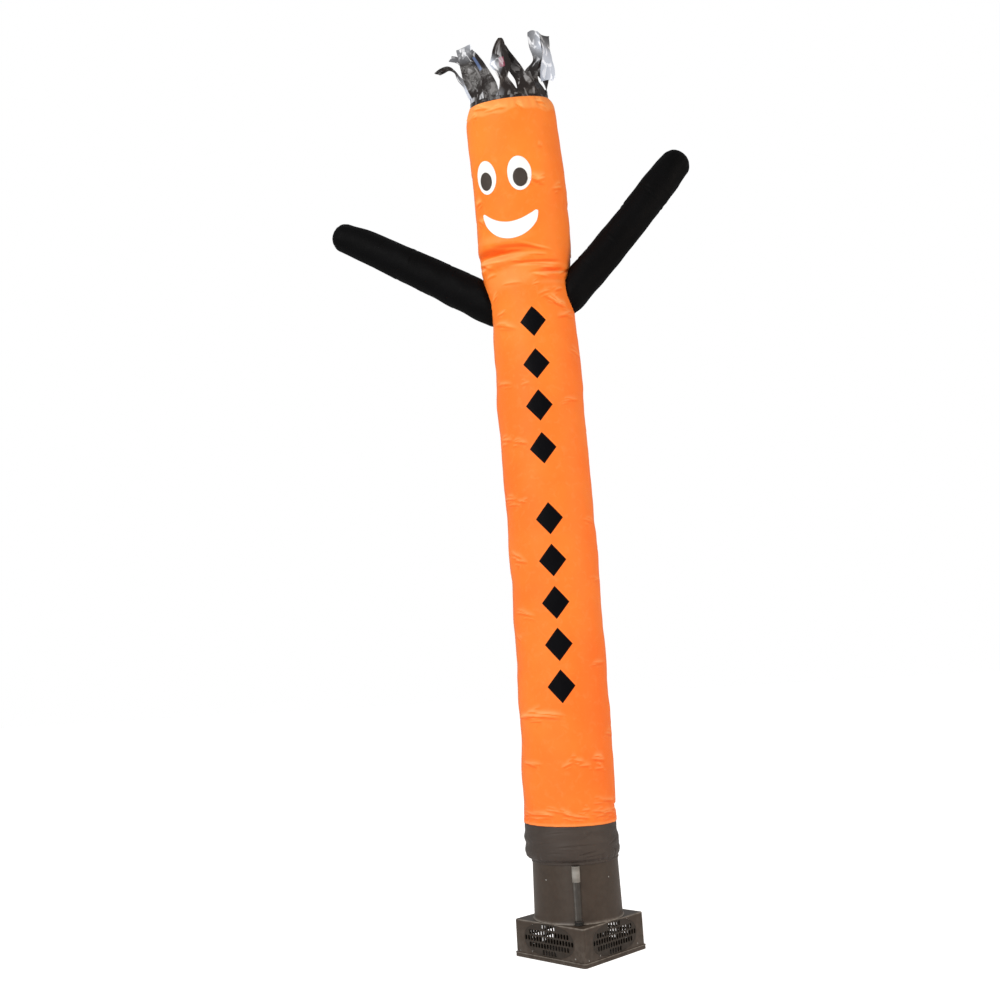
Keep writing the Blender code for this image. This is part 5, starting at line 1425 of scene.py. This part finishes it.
# a strip's paleness is partly its silvery side and partly painted reflections and highlights
STREAMERS = (
    # azimuth of the root and width; paleness and fullness from root to tip; then the way: aside, ahead and up
    # from the band's mouth, and twist
    (-76, 0.042, (1.00, 0.95, 0.40, 0.15, 0.02), (2.0, 1.5, 0.55, 0.60, 1.15),
     ((-0.232, 0.070, 0.030, 30), (-0.271, 0.080, 0.071, 40), (-0.300, 0.075, 0.122, 20),
      (-0.333, 0.060, 0.148, 30), (-0.364, 0.055, 0.140, 60), (-0.396, 0.060, 0.115, 80))),
    (-98, 0.034, (0.60, 0.30, 0.10, 0.35, 0.60), (1.3, 1.0, 1.0, 1.0, 1.0),
     ((-0.216, -0.030, 0.059, 25), (-0.222, -0.040, 0.151, 60), (-0.246, -0.040, 0.226, 80),
      (-0.283, -0.036, 0.257, 90), (-0.318, -0.030, 0.262, 95))),
    (-54, 0.088, (0.35, 0.05, 0.02, 0.45, 0.72), (1.25, 1.25, 1.25, 1.15, 0.95),
     ((-0.192, 0.120, 0.043, 26), (-0.216, 0.125, 0.128, 50), (-0.238, 0.120, 0.235, 40))),
    (-28, 0.062, (0.05, 0.02, 0.05, 0.12, 0.62), (1.5, 1.3, 1.1, 0.9, 0.8),
     ((-0.128, 0.190, 0.015, 25), (-0.166, 0.180, 0.106, 36), (-0.207, 0.170, 0.178, 30))),
    (-4, 0.092, (0.30, 0.10, 0.58, 0.14, 0.05), (1.35, 0.55, 1.25, 0.95, 0.42),
     ((-0.034, 0.230, 0.000, 12), (-0.040, 0.220, 0.077, 26), (-0.040, 0.200, 0.165, 20),
      (-0.028, 0.190, 0.228, 50))),
    (26, 0.070, (0.10, 0.20, 0.05, 0.12, 0.10), (1.7, 1.3, 1.15, 0.8, 0.4),
     ((0.050, 0.170, 0.045, -26), (0.014, 0.150, 0.119, -30), (-0.010, 0.135, 0.194, -10),
      (-0.022, 0.130, 0.246, 30))),
    (52, 0.064, (0.05, 0.02, 0.25, 0.80, 0.66), (1.6, 1.2, 0.9, 1.0, 1.0),
     ((0.128, 0.120, 0.046, -50), (0.145, 0.115, 0.106, -66), (0.169, 0.110, 0.158, -60),
      (0.160, 0.105, 0.238, -52), (0.154, 0.105, 0.317, -64))),
    (80, 0.074, (0.10, 0.15, 0.00, 0.75, 0.98), (1.2, 1.0, 1.0, 1.15, 1.1),
     ((0.200, 0.010, 0.110, -40), (0.206, -0.015, 0.240, -72), (0.211, -0.012, 0.325, -82),
      (0.216, 0.030, 0.345, -84), (0.221, 0.058, 0.290, -84), (0.227, 0.068, 0.162, -80),
      (0.224, 0.062, 0.036, -74))),
    (112, 0.055, (0.20, 0.10, 0.05, 0.50, 0.30), (1.4, 1.2, 1.0, 1.0, 1.0),
     ((0.170, -0.170, 0.100, -14), (0.166, -0.250, 0.140, -26), (0.156, -0.330, 0.130, -40))),
    (146, 0.070, (0.10, 0.20, 0.30, 0.15, 0.20), (1.4, 1.2, 1.0, 1.0, 0.9),
     ((0.124, -0.250, 0.090, 16), (0.130, -0.330, 0.120, 34), (0.130, -0.400, 0.100, 50))),
    (180, 0.060, (0.10, 0.20, 0.45, 0.30, 0.60), (2.0, 1.7, 1.2, 1.0, 0.9),
     ((0.000, -0.270, 0.110, -16), (-0.010, -0.350, 0.160, -28), (-0.010, -0.430, 0.180, -40))),
    (214, 0.075, (0.10, 0.30, 0.20, 0.45, 0.30), (1.4, 1.2, 1.0, 1.0, 0.9),
     ((-0.140, -0.240, 0.120, 16), (-0.170, -0.310, 0.160, 26), (-0.200, -0.380, 0.150, 30))),
    (246, 0.050, (0.10, 0.40, 0.50, 0.30, 0.50), (1.4, 1.2, 1.0, 1.0, 1.0),
     ((-0.192, -0.170, 0.100, -10), (-0.200, -0.250, 0.130, -18), (-0.190, -0.320, 0.100, -26))),
)
PRINTED = {
    # by root: where a printed streak runs, as shares of the length and of half the width, its ink (1 is
    # blue, -1 is red), and how much paler the strip is towards its +X edge
    -54: (0.0, 0.0, 0.0, 0.0, 0.0, 0.1), -28: (0.54, 0.84, -0.45, 0.05, 1.0, -0.1),
    -4: (0.46, 0.66, -0.05, 0.3, -1.0, -0.7), 26: (0.0, 0.0, 0.0, 0.0, 0.0, -0.1),
    52: (0.0, 0.0, 0.0, 0.0, 0.0, 0.15), 180: (0.5, 0.8, -0.4, 0.3, 1.0, 0.3),
    214: (0.4, 0.6, -0.5, 0.2, -1.0, 0.2),
}

hair_film, tree, shader = finish_for("hair_film")
flat = cloth_place(tree)
tone, ink = marked(tree, "tone"), marked(tree, "ink")
stretched = add(tree, "ShaderNodeMapping", {"Vector": flat, "Scale": (34.0, 13.0, 1.0)}).outputs["Vector"]
# painted glints: bands of painted reflection along the film, greying the dark side, brightening the silvery
# side and the paleness
bands = noise(tree, stretched, 1.0, 2.0, Distortion=0.8)
painted_glints = spread(tree, bands, 0.53, 0.62)
dark_side = mix(tree, "MIX", sums(tree, "MULTIPLY", painted_glints, 0.50), (0.018, 0.014, 0.013, 1),
                (0.28, 0.27, 0.27, 1))
pale_side = mix(tree, "MIX", painted_glints, (0.40, 0.42, 0.46, 1), (0.86, 0.88, 0.92, 1))
dark_side = mix(tree, "MIX", spread(tree, ink, 0.20, 0.80, 0.0, 0.62), dark_side, (0.15, 0.22, 0.42, 1))
dark_side = mix(tree, "MIX", spread(tree, ink, -0.20, -0.80, 0.0, 0.70), dark_side, (0.40, 0.08, 0.14, 1))
paleness = spread(tree, sums(tree, "MULTIPLY_ADD", painted_glints, 0.25, tone), 0.30, 0.95)
creasing = noise(tree, flat, 20.0, 3.0)
relief = add(tree, "ShaderNodeBump", {"Height": creasing, "Strength": 0.7, "Distance": 0.012})
# a painted glow: the palest film glows a little, for the light behind it
lit = mix(tree, "MIX", spread(tree, tone, 0.70, 0.95), (0.0, 0.0, 0.0, 1), (0.50, 0.55, 0.66, 1))
feed(tree, shader, Base_Color=mix(tree, "MIX", paleness, dark_side, pale_side),
     Normal=relief.outputs["Normal"], Roughness=spread(tree, bands, 0.3, 0.7, 0.30, 0.48),
     Specular_IOR_Level=0.26, Emission_Color=lit, Emission_Strength=0.4)

# the band and each strip in turn: points, faces, flat cloth, tone and ink
hair_parts = []

H, A = lay_grid([CROWN - LAP, *(CROWN + up for up in (-0.008, 0, 0.006, 0.014, 0.022, 0.032, 0.042)),
                 BAND_TOP - 0.003, BAND_TOP], BAND_AROUND)
creased = ramp(H - CROWN, 0.02) * 0.0016 * pleats(np.radians(A), 31, 1.0, 4, 0.6, 53)
outer, inner = (tube_surface(H, A, -BAND_INSET - inwards + creased) for inwards in (0.0006, 0.0020))
band_form = loft(np.concatenate([outer, inner[::-1]]), closed_along=True)
band_uv = sleeve_uv(np.concatenate([H, H[::-1]]), np.concatenate([A, A]), BAND_RADIUS)
hair_parts.append((*band_form, band_uv, np.full(len(band_uv), 0.05), np.zeros(len(band_uv))))

root_height = np.array((CROWN + ROOT_DEPTH + BAND_TOP) / 2)
_, root_side, root_back, root_up = tube_axes(root_height)
mouth = tube_axes(np.array(BAND_TOP))[0]
u = np.linspace(-1, 1, STREAMER_COLUMNS)
both = np.concatenate([u, u[::-1]])
random = np.random.default_rng(12)
for index, (azimuth, width, paleness, fullness, way) in enumerate(STREAMERS):
    root = tube_surface(root_height, np.array(float(azimuth)), -BAND_INSET - CLOTH / 2) - root_up * ROOT_DEPTH
    stops = np.array([(*root, 0.0), (*(root + root_up * ROOT_RISE), 0.0),
                      *((mouth[0] + aside, mouth[1] - ahead, mouth[2] + rise, twist)
                        for aside, ahead, rise, twist in way)])
    travel = travelled(stops[:, :3])
    far = np.linspace(0, travel[-1], STREAMER_ROWS)
    row = between(np.column_stack([travel, stops]), far)
    middles = row[:, 1:4]
    ways = np.gradient(middles, axis=0)
    ways /= np.linalg.norm(ways, axis=1, keepdims=True)
    turn = math.radians(azimuth)
    flat_way = root_side * math.cos(turn) + root_back * math.sin(turn)
    free = ramp(far - 0.02, 0.05)
    wave = random.uniform(0, 2 * math.pi, 6)
    share = far / far[-1]
    tones, widths = (np.interp(share, np.linspace(0, 1, 5), stages) for stages in (paleness, fullness))
    widths = width * widths
    rows = []
    for i, s in enumerate(far):
        flat_way = flat_way - ways[i] * flat_way.dot(ways[i])
        flat_way /= np.linalg.norm(flat_way)
        twist = math.radians(row[i, 4]) * min(1.0, s / ROOT_RISE)
        twist += 0.30 * free[i] * math.sin(s * 19 + wave[0])
        wide = flat_way * math.cos(twist) + np.cross(ways[i], flat_way) * math.sin(twist)
        thin = np.cross(ways[i], wide)
        # a slight trough along the strip, sharp cross creases and a ragged edge
        bend = 0.006 * free[i] * math.sin(s * 9 + wave[0]) * (1 - u**2)
        zig = (abs(((s * 9 + wave[1]) % 2) - 1) - 0.5) * 0.007 + 0.0012 * np.sin(s * 70 + u * 1.3 + wave[2])
        ruffle = 0.0022 * np.sin(s * 30 + wave[3] + u * 2.2) * np.abs(u) ** 2
        half = widths[i] / 2 * (1 + 0.05 * math.sin(s * 33 + wave[4]))
        if i >= STREAMER_ROWS - 2:
            half *= 0.97
        ends = middles[i] + wide * (u * half)[:, None] + thin * (free[i] * (bend + zig + ruffle))[:, None]
        if i == STREAMER_ROWS - 1:
            ends = ends + ways[i] * (0.007 * np.sin(u * 2.1 + wave[5]))[:, None]
        rows.append(np.concatenate([ends - thin * STREAMER / 4, (ends + thin * STREAMER / 4)[::-1]]))
    uv = np.stack(np.broadcast_arrays(both * width / 2 + 0.31 * index, far[:, None]), -1).reshape(-1, 2)
    low, high, left, right, colour, slant = PRINTED.get(azimuth, (0, 0, 0, 0, 0, 0))
    share = share[:, None]
    # the slant is painted light and shade across the strip, towards its +X edge
    tones = tones[:, None] + (slant * both * np.minimum(1, 2 * tones)[:, None]
                              + np.repeat([0.0, 0.12], STREAMER_COLUMNS))
    inked = colour * ((share > low) & (share < high) & (both > left) & (both < right))
    hair_parts.append((*loft(rows, start_cap=True, end_cap=True), uv, np.clip(tones, 0, 1).ravel(),
                       inked.ravel()))

points, uv, tones, inks = (np.concatenate([part[k] for part in hair_parts]) for k in (0, 2, 3, 4))
starts = np.cumsum([0] + [len(part[0]) for part in hair_parts])
faces = [tuple(start + v for v in face)
         for start, part in zip(starts.tolist(), hair_parts) for face in part[1]]
hair_mesh = mesh_of("hair", (points, faces), hair_film, smooth=50, uv=uv)
mark(hair_mesh, "tone", tones)
mark(hair_mesh, "ink", inks)
hair = piece("hair_streamers", hair_mesh, "hair_film", "hair")


# ---- Stitching ---------------------------------------------------------------------------------
# Rows of lockstitch hold the hems, the arms' roots, the side seams and the face's cut-outs. The thread is
# polyester, dark on the dark cloth and the colour of the cloth elsewhere.

STITCH = 0.0034
STITCH_PITCH = 0.0052
STITCH_WIDTH = 0.0008
SEAM_STITCH = 1.45  # degrees beside a side seam

stitch_rows, asks = geometry_tree("stitch_rows", ("Pitch", "Length", "Width"))
tree, width = stitch_rows, asks["Width"]
line = add(tree, "GeometryNodeMeshToCurve", {"Mesh": asks["Geometry"]}).outputs["Curve"]
spaced = add(tree, "GeometryNodeResampleCurve", {"Curve": line, "Length": asks["Pitch"]}, mode="LENGTH")
spindle = add(tree, "GeometryNodeMeshUVSphere", {"Segments": 6, "Rings": 4, "Radius": 0.5}).outputs["Mesh"]
stitch = moved(tree, spindle, Scale=vector(tree, X=asks["Length"], Y=width, Z=width))
tangent = add(tree, "GeometryNodeInputTangent").outputs["Tangent"]
turn = add(tree, "FunctionNodeAlignRotationToVector", {"Rotation": stood_out(tree), "Vector": tangent},
           axis="X", pivot_axis="Z").outputs["Rotation"]
close_tree(tree, set_on(tree, spaced.outputs["Curve"], stitch, Rotation=turn), asks["Finish"])


def sewing(name, finish, slot, lines):
    """One piece of stitching along lines of places and their ways out; a closed line ends where it starts."""
    places, outs, edges = [], [], []
    for line, ways, closed in lines:
        start = len(places)
        places += [np.array(p) + np.array(w) * STITCH_WIDTH * 0.35 for p, w in zip(line, ways)]
        outs += [tuple(w) for w in ways]
        last = len(places) - 1
        edges += [(i, i + 1) for i in range(start, last)] + ([(last, start)] if closed else [])
    mesh = plain_mesh(name, places, edges=edges)
    mark(mesh, "out", outs)
    mesh = grown(name, mesh, stitch_rows, {"Pitch": STITCH_PITCH, "Length": STITCH, "Width": STITCH_WIDTH,
                                           "Finish": finish})
    shade(mesh)
    piece(name, mesh, slot)


def on_tube(height, azimuth, closed):
    """A stitch line on the tube's cloth, through heights and azimuths."""
    places = tube_surface(height, azimuth, tube_relief(height, azimuth))
    middle, _, _, up = tube_axes(height)
    ways = places - middle
    ways -= up * np.sum(ways * up, -1, keepdims=True)
    ways /= np.linalg.norm(ways, axis=-1, keepdims=True)
    return places, ways, closed


thread_orange = woven("thread_orange", (0.92, 0.20, 0.025), (0.80, 0.14, 0.015), (1.0, 0.30, 0.06), 0.5, 0.1)
around = np.arange(-180, 180, 1.5)
seam_up = np.arange(HEM + 0.03, CROWN - 0.03, 0.010)
sewing("tube_stitching", thread_orange, "orange_nylon", [
    *(on_tube(np.full(len(around), at), around, True) for at in (HEM + HEM_STITCH, CROWN - CROWN_STITCH)),
    *(on_tube(seam_up, np.full(len(seam_up), seam + SEAM_STITCH), False) for seam in SEAM_AZIMUTHS)])
sewing("arm_root_stitching", black_nylon, "black_nylon", [
    (np.array(places) + np.array(ways) * 0.0006, ways, True) for places, ways in arm_rims])
sewing("patch_stitching", white_nylon, "white_nylon", white_edges)
sewing("pupil_stitching", dark_nylon, "dark_nylon", dark_edges)
